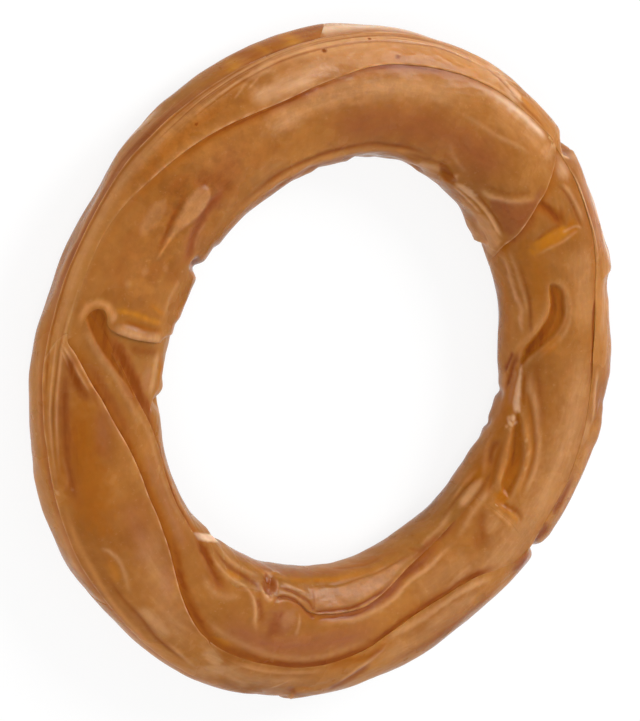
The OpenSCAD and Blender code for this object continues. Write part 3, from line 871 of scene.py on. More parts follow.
# Folds that run over the start of the right wrap onto the sheets beside it
startMarks = [
    patch([(314, 33.6), (315.5, 34.7), (319, 35), (322, 34.8), (323.8, 34), (322, 33.3), (318, 33),
           (315.4, 33)], 0.2, 0.7, pale=0.5),
    fold([(309, 32.2), (316, 32.4), (324, 32.8), (330, 32.4)], -0.12, 0.5, groove=0.4),
    fold([(319.3, 19.8), (319.4, 24), (319.2, 28.6)], 0.15, 0.6, pale=0.4, amber=0.6),
    fold([(320.8, 20), (321.2, 22.6), (321, 28)], 0.1, 0.6, amber=0.9, pale=0.15),
    blot((316.5, 25.5), (2.6, 3.0), 0.1, pale=0.25),
    fold([(311.8, 23.4), (312.6, 25.6), (315, 28.2), (318, 29.6)], -0.15, 1.1, groove=0.45),
    blot((311.4, 25), (2.6, 2.2), -0.1, groove=0.35),
    fold([(306, 29.4), (313, 30.6), (319, 31), (326, 31)], 0.1, 0.7, pale=0.35),
    fold([(309, 35.2), (318, 35.9), (326, 35)], -0.08, 0.4, groove=0.45),
    fold([(313, 36.6), (320, 36.8), (327, 36)], 0.06, 0.5, amber=0.6, pale=0.25),
    wash([(300, 17.4), (312, 17.6), (330, 17.4), (348, 18), (366, 19)], 4.6, ends=(0.15, 0.2), pale=0.36)]

# Folds and stains of the inner wall along the bottom
wallMarks = [
    fold([(224, 37.2), (228, 37.7), (232, 38)], -0.65, 2.4, ends=(0.35, 0.35)),
    fold([(218, 30.3), (224, 29.4), (228, 27.8), (231.5, 26.6), (236.5, 25.8)], -0.35, 1.0, colourWide=1.3,
         groove=0.95, amber=0.5),
    fold([(224, 30.8), (230, 29), (236, 28.5), (240, 28.3), (243.4, 26.3), (245.4, 22.8), (247.8, 19.4)],
         0.2, 0.5, ends=(0.25, 0.2), pale=0.5),
    fold([(225, 32), (232, 30.9), (239, 30.6), (245, 30)], -0.15, 0.6, ends=(0.4, 0.1), groove=0.8),
    fold([(226, 34), (232, 32.6), (239, 32.2), (245, 32.4)], 0.08, 0.6, ends=(0.4, 0.2), pale=0.35),
    # the torn knot and the wrinkles that run to it
    blot((247.6, 31.2), (2.0, 2.2), -0.35, groove=0.75, blush=0.9),
    blot((247.8, 31.6), (0.9, 1.1), -0.2, turn=25.0, groove=0.7),
    fold([(246.4, 33.6), (246.9, 31.8), (246.7, 29.8)], -0.12, 0.28, groove=0.7),
    fold([(248.7, 33.8), (248.3, 31.8), (248.8, 29.6)], -0.12, 0.25, groove=0.8),
    fold([(247.4, 33), (247.7, 31.2), (247.4, 29.2)], 0.12, 0.22, pale=0.6),
    blot((247, 28.6), (0.5, 0.4), 0.15, pale=0.8, chalk=0.3),
    blot((248.5, 29), (0.4, 0.3), 0.12, pale=0.4),
    tint((235, 29.3), (3.4, 1.2), turn=22.0, amber=0.85),
    fold([(244.4, 30.6), (245.8, 28.8), (247.6, 27.9), (249.2, 28.7)], 0.3, 0.45, pale=0.72),
    fold([(249.7, 33.2), (250.1, 31.4), (249.4, 29.6)], 0.2, 0.4, pale=0.4),
    fold([(245.4, 33), (247, 34.2), (249.6, 33.9)], 0.15, 0.4, pale=0.35),
    fold([(248.8, 34.4), (250.4, 35.2), (252.6, 35.4)], 0.1, 0.4, pale=0.3),
    fold([(249, 28.2), (252, 29.1), (256, 28.8), (259.5, 27), (262, 25.5)], -0.2, 0.38, ends=(0.2, 0.05),
         groove=0.85, blush=1.0),
    fold([(249.6, 27.4), (253, 28.4), (257, 27.6)], 0.1, 0.35, pale=0.28),
    fold([(250.4, 31.2), (255.6, 30.8), (259.6, 29.2), (261.6, 27.3)], -0.18, 0.35, ends=(0.2, 0.05),
         groove=0.75, blush=0.6),
    fold([(250.4, 30.2), (255, 29.9), (258.6, 28.4)], 0.12, 0.4, pale=0.4),
    fold([(251, 32.6), (256, 32), (260, 30.8)], 0.1, 0.4, pale=0.35)]

# Fine lines along the rim
rimLines = [
    wash([(58, 5.4), (90, 5.5), (118, 5.4), (140, 5)], 1.7, ends=(0.08, 0.35), stripe=0.8),
    fold([(58, 6.6), (66, 6.7), (80, 6.4), (100, 6.4), (120, 6.3), (140, 5.9)], 0.1, 0.26,
         ends=(0.06, 0.4), pale=0.6),
    fold([(62, 7.2), (80, 6.9), (100, 6.9), (120, 6.8), (140, 6.4)], -0.06, 0.25, ends=(0.2, 0.4),
         groove=0.45),
    fold([(66, 5.4), (95, 5.4), (125, 5.2), (145, 4.7)], -0.08, 0.22, ends=(0.2, 0.4), groove=0.45),
    fold([(66, 4.8), (90, 4.8), (120, 4.6), (145, 4.1)], 0.08, 0.22, ends=(0.2, 0.4), pale=0.5),
    fold([(70, 4.2), (95, 4.2), (120, 4), (145, 3.4), (166, 3.2), (178, 4), (190, 4.3)], -0.1, 0.3,
         groove=0.5, amber=0.5),
    fold([(124, 5.4), (145, 4.9), (160, 4.9), (178, 5.4)], 0.05, 1.1, pale=0.28),
    fold([(156, 6.3), (170, 6.4), (182, 6.6), (194, 6.4)], 0.1, 0.3, ends=(0.4, 0.3), pale=0.6),
    fold([(164, 5.8), (176, 5.9), (190, 5.7)], -0.08, 0.22, ends=(0.4, 0.3), groove=0.45),
    fold([(164, 4.9), (178, 5.2), (198, 5.4)], 0.1, 0.28, ends=(0.4, 0.3), pale=0.5)]

# Where the left leaf runs out over the lower rim
tailMarks = [
    wash([(240, 10.4), (247, 8.8), (253, 7)], 1.2, pale=0.3),
    tint((241, 11.5), (4.4, 1.6), turn=-20.0, pale=0.45),
    tint((243.2, 8.6), (4.8, 2.2), turn=32.0, pale=0.45),
    fold([(243, 12.4), (256, 12.4), (268, 13.2)], 0.05, 0.6, pale=0.4, amber=0.3),
    wash([(238, 10.6), (248, 9.8), (256, 9.6), (266, 10.6)], 1.8, pale=0.3),
    fold([(211, 8.6), (220, 8.9), (229, 8.3), (240, 6.6)], -0.1, 0.5, groove=0.6),
    fold([(230, 9.4), (236, 8), (241, 7)], 0.06, 0.5, pale=0.3)]


# Dents and swells of the outer edge, on the rim or a full girth round, on the back
def edgeMarks(lap):
    swell = [(88, lap - 1.2), (100, lap - 2.4), (112, lap - 3.2), (124, lap - 3.8), (134, lap - 4.2)]
    crest = [(90, lap - 1.4), (98, lap - 2.2), (106, lap - 2.8), (115, lap - 3.3)]
    return [
        fold(swell, 0.6, 3.6, ends=(0.2, 0.15)),
        fold(nextTurn(swell), 0.6, 3.6, ends=(0.2, 0.15)),
        fold(crest, 0.45, 3.6, ends=(0.35, 0.45)),
        fold(nextTurn(crest), 0.45, 3.6, ends=(0.35, 0.45)),
        fold([(138, lap - 3), (147, lap - 3.2), (156, lap - 3.2), (164, lap - 3.2), (171, lap - 3)],
             -1.25, 4.0, ends=(0.32, 0.3)),
        fold([(177, lap - 4.2), (184, lap - 4), (191, lap - 3.8)], -0.3, 3.5, ends=(0.35, 0.35)),
        fold([(191, lap - 3.5), (197, lap - 3.2), (206, lap - 2.6)], 0.4, 3.0, ends=(0.35, 0.35)),
        blot((223, 0.5 + lap), (13.0, 6.0), -0.75),
        fold([(236, 0.4 + lap), (246, 1.6 + lap), (257, 2.6 + lap)], 0.45, 3.2, ends=(0.4, 0.15)),
        fold([(254, 2 + lap), (268, 2.2 + lap), (280, 2.8 + lap)], 0.45, 3.0),
        blot((303, 3 + lap), (12.0, 6.0), -0.5),
        fold([(320.6, 5 + lap), (335, 5.4 + lap), (346, 6 + lap), (359, 6.2 + lap)], 0.85, 3.8,
             ends=(0.08, 0.15)),
        fold([(319.9, 12 + lap), (320, 9.5 + lap), (320, 6 + lap), (320, lap - 2)], -1.9, 1.15,
             ends=(0.3, 0.02), groove=0.4),
        blot((344.6, 6 + lap), (3.4, 4.2), 0.5),
        blot((352.6, 6.2 + lap), (3.2, 4.6), -0.5),
        step([(375.4, 12.5 + lap), (375.2, 9 + lap), (375.4, lap)], 0.45, 0.35, 3.0, ends=(0.15, 0.02)),
        blot((368, 6.2 + lap), (8.5, 6.2), -1.0),
        blot((372.4, 7.5 + lap), (3.0, 4.8), -0.5),
        fold([(378, 5.4 + lap), (386, 5 + lap), (397, 4.5 + lap)], -0.4, 4.0, ends=(0.2, 0.2)),
        blot((402.4, 4.6 + lap), (2.7, 4.4), -2.6),
        step([(261.7, 8 + lap), (262.2, 4 + lap), (262.5, lap - 2)], 0.75, 0.4, 8.0, ends=(0.3, 0.02))]


# Dents and notches of the inner edge on the right, from the front round to the back
innerMarks = [
    fold([(295, 44.6), (310, 45), (322, 45.4), (338, 45.6)], -0.65, 6.0, ends=(0.4, 0.08)),
    blot((344, 45.6), (9.0, 8.0), -1.6),
    fold([(347.7, 37), (348.2, 41), (348.4, 46), (348.2, 51)], -0.8, 1.2, ends=(0.4, 0.2), groove=0.25),
    fold([(338.6, 39), (339, 42), (339, 46), (338.6, 50)], -0.6, 1.1, ends=(0.3, 0.2), groove=0.2)]

# The right wrap, creased all along its inner side
rightFaceWrap = dict(
    start=319.0, end=407.0, low=rightSeam, high=joined(backSeam, topSeam, 379.7, fullTurn), lowOver=never,
    highOver=[(319, 1), (379, 1), (381, 0), (407, 0)],
    startOver=1, endOver=0, pitch=0.32,
    startLift=[(8, 0.0), (18, 0.0), (21, 0.08), (27, 0.08), (30, 0.0), (50, 0.0)],
    startLine=[(8, 319), (18, 319.2), (22, 319.5), (27, 319.3), (31, 319), (50, 319)],
    marks=startMarks + innerMarks + [
        fold([(321.4, 19), (322.4, 21.6), (322, 25), (321.8, 27)], -0.25, 0.6, groove=0.6, amber=0.8),
        blot((323, 27.4), (2.0, 1.6), -0.35, amber=1.0, groove=0.3),
        # the amber valley between light ridges
        patch([(324, 26), (330, 26.8), (335, 28.4), (340, 30.4), (345, 33), (341, 32.8), (337, 32),
               (333, 31), (329, 30), (325.4, 28.8)], -0.65, 0.6, amber=1.0, groove=0.5),
        fold([(328, 28.6), (333, 29.8), (338, 31.4), (342.5, 32.6)], -0.2, 0.6, groove=0.7),
        fold([(323, 24.8), (330, 25.4), (336, 27.2), (341, 29.6), (345.5, 32.2)], 0.22, 0.7, pale=0.25,
             amber=0.6),
        fold([(322, 22.3), (330, 23.1), (338, 25.4), (346, 28.6), (352, 31), (358, 32.6)], 0.2, 0.9,
             pale=0.4),
        fold([(340, 26), (348, 28), (355, 30), (361, 31.6)], -0.1, 0.9, groove=0.35),
        fold([(325, 24), (334, 25.3), (341, 27.6), (347, 30.4), (353, 32.2)], -0.18, 0.6, groove=0.5,
             amber=0.7),
        fold([(346, 31.6), (351, 32.6), (357, 33.2)], -0.1, 0.5, groove=0.5, amber=0.5),
        fold([(324, 29.6), (329, 31), (334, 32.2), (340, 33)], 0.16, 0.8, pale=0.2, amber=0.6),
        fold([(320, 30.4), (326, 32), (331, 33.2), (338, 33.8)], -0.18, 0.6, groove=0.55, amber=0.7),
        fold([(327, 33), (331, 35), (334.4, 35.2), (335.6, 33.6)], -0.16, 0.8, groove=0.5, blush=0.4),
        fold([(324, 33.6), (329, 35.8), (334, 37), (340, 36.4)], 0.1, 0.7, pale=0.25, amber=0.5),
        blot((332, 26.2), (0.8, 0.4), 0.15, pale=0.6),
        blot((335.6, 27.4), (0.9, 0.4), 0.15, pale=0.6),
        blot((338.6, 28.8), (0.7, 0.4), 0.15, pale=0.6),
        tint((346, 36.4), (9.0, 2.4), groove=0.25, amber=0.6),
        tint((327, 35.6), (6.0, 2.2), groove=0.2, amber=0.6),
        # crumbs of pale fibre
        blot((342.8, 33.5), (0.8, 0.5), 0.2, turn=30.0, pale=0.9, chalk=0.35),
        blot((342.5, 34.4), (0.6, 0.5), 0.2, pale=0.8),
        blot((341.7, 32.7), (0.7, 0.45), 0.18, turn=-35.0, pale=0.8, chalk=0.2),
        blot((341.1, 33.6), (0.9, 0.45), 0.2, turn=50.0, pale=0.9, chalk=0.35),
        blot((340.1, 34.3), (0.5, 0.5), 0.12, pale=0.6),
        blot((339.6, 33.2), (0.7, 0.4), 0.12, turn=20.0, pale=0.45),
        patch([(344.6, 33.2), (345.4, 34), (349, 34.5), (353, 34.6), (357.5, 34.3), (352, 33.6),
               (348, 33), (345.4, 32.6)], 0.18, 0.5, pale=0.75, chalk=0.4),
        fold([(345, 35), (351, 35.6), (357, 35.4)], 0.05, 0.6, blush=0.8, pale=0.3),
        fold([(349, 37.6), (353, 37), (357, 36.4), (361, 35)], -0.25, 0.6, groove=0.7, blush=0.9),
        fold([(354, 39), (358, 37.6), (361.5, 36.2)], -0.2, 0.5, groove=0.6, blush=0.8),
        # the deep fold, a horn with its mouth to the right
        patch([(357, 34.6), (362, 34), (366, 31.5), (370, 29), (374, 27.4), (377, 27.2), (379.2, 26.8),
               (378.6, 25.2), (376.5, 24), (373, 24), (370, 24.6), (367, 26.6), (364, 29.4),
               (360.5, 32.6)], -0.6, 0.45, amber=1.0, groove=0.6),
        patch([(358, 34.4), (362, 33.7), (366, 31.2), (370, 28.8), (374, 27.2), (377, 27), (378.4, 26.3),
               (376, 25.7), (372, 26.2), (368.6, 27.6), (365, 30.2), (361, 33)], -0.25, 0.35,
              groove=0.75),
        fold([(358, 32.4), (362, 29.2), (365.4, 25.6), (369.5, 23), (375, 22.7), (379, 24.4),
              (379.8, 26.6)], 0.12, 0.6, pale=0.2),
        fold([(359, 37), (364, 34.4), (368, 31.6), (372, 29), (378, 28)], 0.18, 0.8, pale=0.3, amber=0.4),
        fold([(350, 15), (357, 15.6), (361, 16), (366, 15.9), (371, 15.6), (375.5, 15)], -0.12, 0.55,
             groove=0.85),
        wash([(360, 39.4), (366, 38.8), (374, 38.4), (390, 38.6)], 0.9, amber=0.6, groove=0.2),
        fold([(366, 32.4), (374, 32.4), (392, 32.6)], -0.14, 0.5, groove=0.5),
        fold([(371, 33), (378, 33.4), (386, 33.8), (394, 33.8)], 0.1, 0.5, pale=0.35),
        fold([(365, 33.6), (370, 34.9), (374, 34.4), (379, 35.5), (386, 35.6), (393, 36.6)], 0.15, 0.6,
             pale=0.55, blush=0.3),
        tint((384, 29.8), (10.0, 3.0), amber=0.5, groove=0.15),
        # upright ridges beside the free end of the top wrap
        blot((390.2, 24), (1.8, 5.6), -0.05, amber=1.0, gold=0.2, groove=0.2),
        fold([(388, 16), (388.4, 20), (388.2, 29)], 0.1, 0.4, pale=0.3, amber=0.5),
        fold([(387.6, 14.8), (389.2, 16.6), (390, 19.4), (390.2, 21)], 0.1, 0.3, pale=0.5),
        fold([(391.6, 20), (392, 22.6), (391.8, 29)], -0.14, 0.6, groove=0.5),
        # a painted shadow in the wedge below the free end of the top wrap
        fold([(390.6, 18.6), (393.5, 20.2), (397, 21.6), (399.6, 22.8)], -0.3, 1.0, ends=(0.35, 0.02),
             colourWide=1.3, groove=0.8, amber=0.8),
        fold([(387, 15), (391, 15.2), (397, 15.6), (401, 17)], -0.15, 0.4, groove=0.6),
        fold([(388, 14), (395, 14.4), (400, 15.6)], 0.1, 0.6, pale=0.4),
        tint((401.4, 13), (2.8, 2.0), pale=0.5, chalk=0.12),
        tint((389.5, 17.6), (2.6, 1.8), amber=0.8, groove=0.32),
        tint((363.6, 28), (2.6, 1.6), turn=-40.0, amber=0.9, groove=0.25),
        # painted shade along the edge of the free end of the top wrap
        fold([(394.5, 34), (396.5, 29), (399, 24)], -0.1, 1.2, groove=0.45, blush=0.5),
        wash([(364, 18.6), (376, 18), (386, 17.6)], 3.4, pale=0.25)])

# The face along the left and the bottom, lapped by the rim
lowerFaceWrap = dict(
    start=163.0, end=319.9, low=lowSeam, high=innerSeam, lowOver=never,
    highOver=[(163, 1), (230.5, 1), (236, 0), (320, 0)], startOver=-1, endOver=-1, pitch=0.36,
    startDip=pocketDip, startFade=pocketFade, endDip=0.02,
    marks=startMarks + wallMarks + [
        fold([(190, 25.2), (200, 27), (210, 27.2), (222, 25.6)], 0.12, 1.2, pale=0.1, blush=0.4),
        wash([(178, 20.8), (190, 27.4), (206, 29), (218, 28.8)], 0.6, pale=0.2),
        patch([(163.6, 11.4), (164.6, 10.2), (166.2, 10), (169, 12.6), (172.5, 16), (176, 20.2),
               (180, 23.4), (177, 22.3), (173, 19.4), (169.5, 16.4), (166.6, 14.6), (164.6, 13.6)], -0.3,
              0.45, amber=0.9, groove=0.7),
        fold([(167, 9.2), (169.4, 11.8), (172.8, 15), (176.4, 19), (181.4, 22.4), (188, 25)], 0.2, 0.8,
             pale=0.25),
        tint((178.6, 22), (3.4, 0.9), turn=40.0, groove=0.4, blush=0.2),
        fold([(171.6, 9.8), (175, 13.4), (179.4, 17), (185, 20.6), (193, 23.8)], -0.1, 1.1, groove=0.5,
             blush=0.3),
        fold([(226, 25.2), (231, 23.8), (236, 24.4), (240, 26.4)], 0.1, 0.8, pale=0.25),
        fold([(243.8, 28), (246, 25.4), (247.6, 22)], -0.2, 0.8, groove=0.5, blush=0.4),
        # the stained patch below the torn knot
        blot((252.6, 23.6), (4.4, 3.6), 0.05, blush=0.7),
        blot((254, 24.8), (2.8, 1.8), 0.03, turn=30.0, pale=0.2),
        blot((251, 22.4), (2.0, 2.6), -0.08, groove=0.55, blush=0.9),
        fold([(250, 21.4), (251.4, 24), (252.4, 26.6)], -0.1, 0.5, blush=1.0, groove=0.4),
        tint((240.4, 15.2), (3.6, 1.1), amber=1.0, gold=0.2),
        fold([(257, 21), (257.6, 24), (257.2, 26.8)], 0.05, 0.4, pale=0.4),
        # the lip below the terrace
        fold([(260.5, 23.6), (266, 24.2), (273, 24.3), (279, 24.8), (284, 26.2), (290, 28), (296, 28.6),
              (303, 29.2), (309, 29.2)], 0.22, 0.6, pale=0.48),
        fold([(260.6, 25.6), (270, 25.9), (278, 26.5), (284, 28), (290, 29.9), (297, 30.8), (305, 31.8)],
             -0.15, 0.9, groove=0.45, blush=1.0),
        fold([(262, 25.2), (272, 25.2), (281, 26)], -0.1, 0.3, groove=0.8, blush=1.0),
        fold([(300, 32.6), (308, 33), (313, 34.6)], -0.15, 0.8, groove=0.6, blush=0.8),
        tint((302.6, 21.6), (5.0, 1.5), pale=0.45),
        # the body's tone, reddish to the left and paler to the right
        wash([(236, 21.5), (246, 18.5), (258, 19.2), (270, 20), (282, 22.4)], 2.8, blush=0.75),
        wash([(232, 18.6), (245, 16.6), (262, 16.2), (280, 19.6)], 0.8, pale=0.25),
        wash([(288, 24.5), (300, 25), (308, 23)], 2.6, pale=0.25),
        # painted shade, soft and dark, along the face under the rim's lip
        fold([(210, 25), (218, 23.4), (226, 19.8), (232, 17.3), (238, 15.2), (246, 14.4), (256, 14.3),
              (266, 15), (276, 17), (286, 20.2), (296, 20.8), (304, 19.8), (309, 17.6), (313, 14.6)],
             -0.12, 0.9, ends=(0.1, 0.15), colourWide=1.2, groove=0.8, amber=0.6)])

# The inner wall along the left, under the rolled end of the top wrap
innerLeftWrap = dict(
    start=163.0, end=230.6, low=innerSeam, high=backSeam, lowOver=never, highOver=always,
    startOver=-1, endOver=-1, pitch=0.32, startDip=pocketDip, startFade=pocketFade, endDip=0.0,
    endLine=[(24, 235.6), (28, 234), (30, 232), (32, 230.6), (34.6, 229.2), (38, 228.2), (52, 228.2)],
    marks=wallMarks + [
        patch([(163.6, 11.4), (164.6, 10.2), (166.2, 10.2), (168, 12.2), (170, 15), (171, 17),
               (168.6, 16), (166.6, 14.6), (164.6, 13.6)], -0.15, 0.5, amber=1.0, groove=0.75),
        fold([(167, 14.6), (170, 17.6), (174, 21.2), (178, 24), (183, 27), (188, 29.4)], -0.1, 1.1,
             colourWide=1.3, groove=0.9, blush=0.7, amber=0.6),
        fold([(182, 28.5), (182.6, 30.5), (182.9, 34), (183, 39)], -1.7, 1.5, ends=(0.3, 0.2),
             groove=0.2),
        fold([(178, 36), (190, 35.6), (200, 36), (212, 37), (224, 38.4)], -0.6, 4.5, ends=(0.15, 0.2)),
        fold([(169, 33), (174, 34), (180, 34)], -0.2, 3.0),
        patch([(218.6, 30.1), (220.6, 30.3), (224, 31.8), (228.4, 34.6), (226.4, 35), (222.6, 33),
               (219.4, 31)], 0.25, 0.35, pale=1.0, chalk=0.7),
        blot((204.8, 31), (0.9, 0.45), 0.2, pale=0.9),
        blot((206.6, 30.9), (0.5, 0.4), 0.2, pale=0.8),
        fold([(186, 30.4), (204, 31.6), (219, 31.6)], 0.08, 0.6, pale=0.4),
        fold([(188, 30.1), (204, 30.6), (222, 30.4)], -0.1, 0.6, groove=0.8),
        fold([(169.5, 28), (174, 28.4), (181, 27.6)], 0.12, 0.8, pale=0.5),
        wash([(170, 30), (176, 30.6), (182, 29.6)], 0.8, amber=0.8, groove=0.2),
        wash([(169.4, 20), (170, 24), (169.8, 28.6)], 0.9, groove=0.5),
        tint((176, 26.2), (3.4, 1.2), pale=0.15, blush=0.4)])

# The inner wall along the bottom, with its pale torn terrace
innerLowerWrap = dict(
    start=230.0, end=319.9, low=innerSeam, high=backSeam,
    lowOver=[(230, 0), (230.5, 0), (236, 1), (320, 1)], highOver=always,
    startOver=1, endOver=-1, pitch=0.32, startLift=0.0, endDip=0.02,
    startLine=[(24, 235), (28, 233.4), (30, 231.4), (32, 230), (34.6, 228.6), (38, 227.6), (52, 227.6)],
    marks=startMarks + wallMarks + innerMarks + [
        fold([(247, 40.5), (254, 41.3), (260, 41.8), (267, 42.2)], 0.55, 3.4, ends=(0.4, 0.5)),
        patch([(260.4, 32.2), (261, 30.2), (261.6, 27.6), (266, 27.5), (271.5, 27.7), (275, 28.1),
               (279, 28.9), (285, 30.5), (291, 31.9), (296.4, 32.7), (292, 33), (287, 33), (279, 32.8),
               (271, 32.4)], 0.12, 0.28, pale=0.22, blush=0.35, spots=0.5),
        tint((287.6, 31.9), (4.6, 0.8), turn=14.0, pale=0.4),
        fold([(261.2, 32.4), (261.3, 29.8), (261.6, 27)], -0.1, 0.3, groove=0.5),
        fold([(261, 32.7), (275, 33), (288, 33.3), (296, 33.4)], -0.1, 0.4, groove=0.25),
        fold([(261.4, 27), (269, 26.9), (275, 27.3), (281.5, 28.7), (288, 30.7)], -0.15, 0.35,
             ends=(0.05, 0.3), groove=0.75, blush=1.0),
        wash([(236, 34), (258, 34.4), (290, 33.8)], 0.9, amber=0.5),
        wash([(236, 36.6), (262, 36.6), (300, 36.6)], 1.4, groove=0.16, amber=0.2, blush=0.25),
        fold([(270, 37.6), (280, 36.2), (288, 36.4)], -0.1, 0.5, groove=0.3),
        fold([(297, 33.6), (305, 34.2), (313, 34.8)], 0.1, 0.6, pale=0.4),
        fold([(296.8, 32), (295.8, 33.6), (294.6, 35)], -0.08, 0.4, groove=0.4),
        tint((299.8, 32.7), (4.0, 0.9), turn=8.0, groove=0.45, blush=0.4)])

# The rim, a band round the outside of the front, with fine lines along it
upperRimWrap = dict(
    start=46.6, end=170.3, low=rimSeam, high=topSeam, lowOver=always,
    highOver=always, startOver=1, endOver=1, pitch=0.32, startLift=0.12, endLift=0.0,
    endLine=[(2, 176.4), (3.6, 173.6), (5.2, 171.4), (6.8, 170.3), (12, 170.3)],
    marks=rimLines + edgeMarks(0.0) + [
        wash([(64, 8.8), (80, 9.2), (98, 8.6)], 1.3, amber=0.6),
        # a broad pale band along the top of the rim: painted sheen
        wash([(59, 6.8), (74, 7), (96, 7), (119, 7)], 3.0, ends=(0.1, 0.25), pale=0.45),
        fold([(57, 10.6), (64, 10.4), (70, 10.8)], 0.08, 0.4, pale=0.5),
        fold([(48, 9.8), (55, 9.6), (62, 9.4)], -0.1, 0.4, groove=0.5, amber=0.8),
        wash([(50, 8.4), (58, 8), (66, 8.2)], 0.8, amber=0.8),
        fold([(57, 4.4), (61, 6.4), (67.5, 9.8)], 0.16, 0.3, pale=0.6),
        fold([(60, 4.8), (65, 7), (72, 9.2)], 0.14, 0.3, pale=0.5),
        fold([(58, 9.6), (63, 7.9), (68, 6.6)], -0.15, 0.35, groove=0.5),
        fold([(58.4, 8.6), (62, 7.4), (65, 6.2)], 0.1, 0.25, pale=0.6),
        # a paler patch where the top of the rim faces the light: painted highlight
        tint((106, 10.6), (9.5, 2.4), pale=0.4),
        wash([(102, 13), (109, 12.4), (115, 11.6), (119, 10.4)], 1.8, pale=0.55, chalk=0.14),
        tint((64, 7.4), (4.0, 1.8), pale=0.5, chalk=0.25),
        tint((59.6, 8.8), (3.0, 1.6), pale=0.5, chalk=0.3),
        tint((132, 8), (26.0, 3.6), spots=0.7),
        tint((113.4, 6.8), (4.0, 1.2), pale=0.55),
        wash([(120, 9.6), (132, 8.2), (146, 6.6)], 1.4, groove=0.25, amber=0.3),
        fold([(114, 7.4), (116, 8.2), (118, 8.8)], 0.08, 0.25, pale=0.4),
        fold([(117, 7.2), (119, 8.2), (121, 9)], 0.08, 0.25, pale=0.35),
        blot((101.5, 7.4), (0.55, 0.45), -0.05, groove=1.0, blush=1.0),
        blot((92, 6.2), (0.35, 0.3), -0.05, groove=1.0),
        blot((87.3, 10.4), (0.55, 0.5), -0.05, groove=1.0),
        blot((128.5, 8.2), (0.4, 0.35), -0.05, groove=1.0),
        blot((169.4, 6.4), (0.35, 0.35), -0.05, groove=1.0)])

# The large plain leaf on the left
leftRimWrap = dict(
    start=169.6, end=256.0, low=rimSeam, high=joined(lowSeam, leftTail, 238.0),
    lowOver=always, highOver=always, startOver=-1, endOver=0, pitch=0.32, startDip=0.0,
    startLine=[(2, 175.7), (3.6, 172.9), (5.2, 170.7), (6.8, 169.6), (12, 169.6)],
    marks=rimLines + tailMarks + edgeMarks(0.0) + [
        fold([(170.4, 5.8), (172.6, 8), (175.5, 10.8), (179, 13.6)], 0.15, 0.3, pale=0.7),
        fold([(171.4, 5.8), (173, 7.2), (175, 9)], 0.12, 0.3, pale=0.6),
        fold([(171, 7.4), (182, 8.2), (192, 8.6), (201, 8.4)], -0.12, 1.0, colourWide=1.2, groove=0.6,
             blush=0.4),
        wash([(171.6, 7.6), (174.6, 8.8), (177.6, 11.4), (181, 14)], 1.2, groove=0.75, blush=0.2),
        fold([(189, 7.2), (193, 8), (196, 5.8)], 0.06, 0.4, amber=1.0, pale=0.2),
        blot((195.5, 5.1), (0.6, 0.5), 0.1, pale=0.6),
        blot((195.4, 8.3), (0.4, 0.35), 0.05, pale=0.6),
        fold([(196, 6), (212, 6.2), (236, 5.6)], 0.06, 0.8, pale=0.2, amber=0.5),
        # the small blister
        blot((212.4, 10.3), (3.2, 1.4), 0.14, amber=0.5),
        fold([(207, 9.6), (209, 11.6), (213, 12.4), (219, 10.8)], 0.08, 0.5, pale=0.4),
        # darker to the upper left, paler below the blister
        tint((192, 11), (14.0, 4.6), amber=0.9, groove=0.47),
        tint((186, 16), (6.0, 2.0), blush=0.4),
        wash([(206, 20), (216, 18.6), (226, 14.6), (238, 11)], 3.0, pale=0.26),
        wash([(200, 19), (208, 19.4), (216, 18)], 3.0, blush=0.4),
        tint((221, 18), (4.4, 1.8), turn=-30.0, blush=0.55),
        wash([(221, 9.6), (226, 10.5), (232, 10.2)], 1.8, pale=0.42),
        tint((178.6, 13.4), (2.8, 1.0), turn=38.0, groove=0.38)])

# The leaf along the bottom
lowerRimWrap = dict(
    start=238.4, end=319.0, low=joined(leftTail, rimSeam, 261.0), high=lowSeam,
    lowOver=[(240, 0), (254, 0), (258, 1), (319, 1)], highOver=always, startOver=0, endOver=0, pitch=0.34,
    marks=tailMarks + edgeMarks(0.0) + [
        fold([(269, 8), (273, 10.8), (277, 13.6), (282, 16.6)], 0.18, 0.6, pale=0.6),
        fold([(269, 6.4), (272, 8.6), (278, 12)], -0.15, 1.3, groove=0.6, blush=0.5),
        fold([(278, 15.6), (284, 17.8), (292, 18.7), (300, 18.4), (306, 16.8), (310, 14)], 0.1, 0.9,
             pale=0.5),
        fold([(256, 7.2), (258.4, 9), (260, 10.2)], 0.1, 0.4, pale=0.5),
        fold([(260, 8), (263, 6), (266, 5)], -0.1, 0.6, groove=0.4, blush=0.4),
        wash([(278, 12.4), (290, 13.6), (306, 13.2)], 2.2, pale=0.25),
        wash([(288, 14.8), (298, 15.4), (306, 14.4)], 1.7, pale=0.4),
        wash([(265, 13.4), (271, 14.3), (277, 14.6), (283, 17.6)], 1.1, amber=0.9, groove=0.5),
        wash([(280, 10.4), (296, 10.8), (312, 11)], 1.0, groove=0.35),
        blot((316, 10), (2.6, 2.6), 0.25, groove=0.5, blush=1.0)])

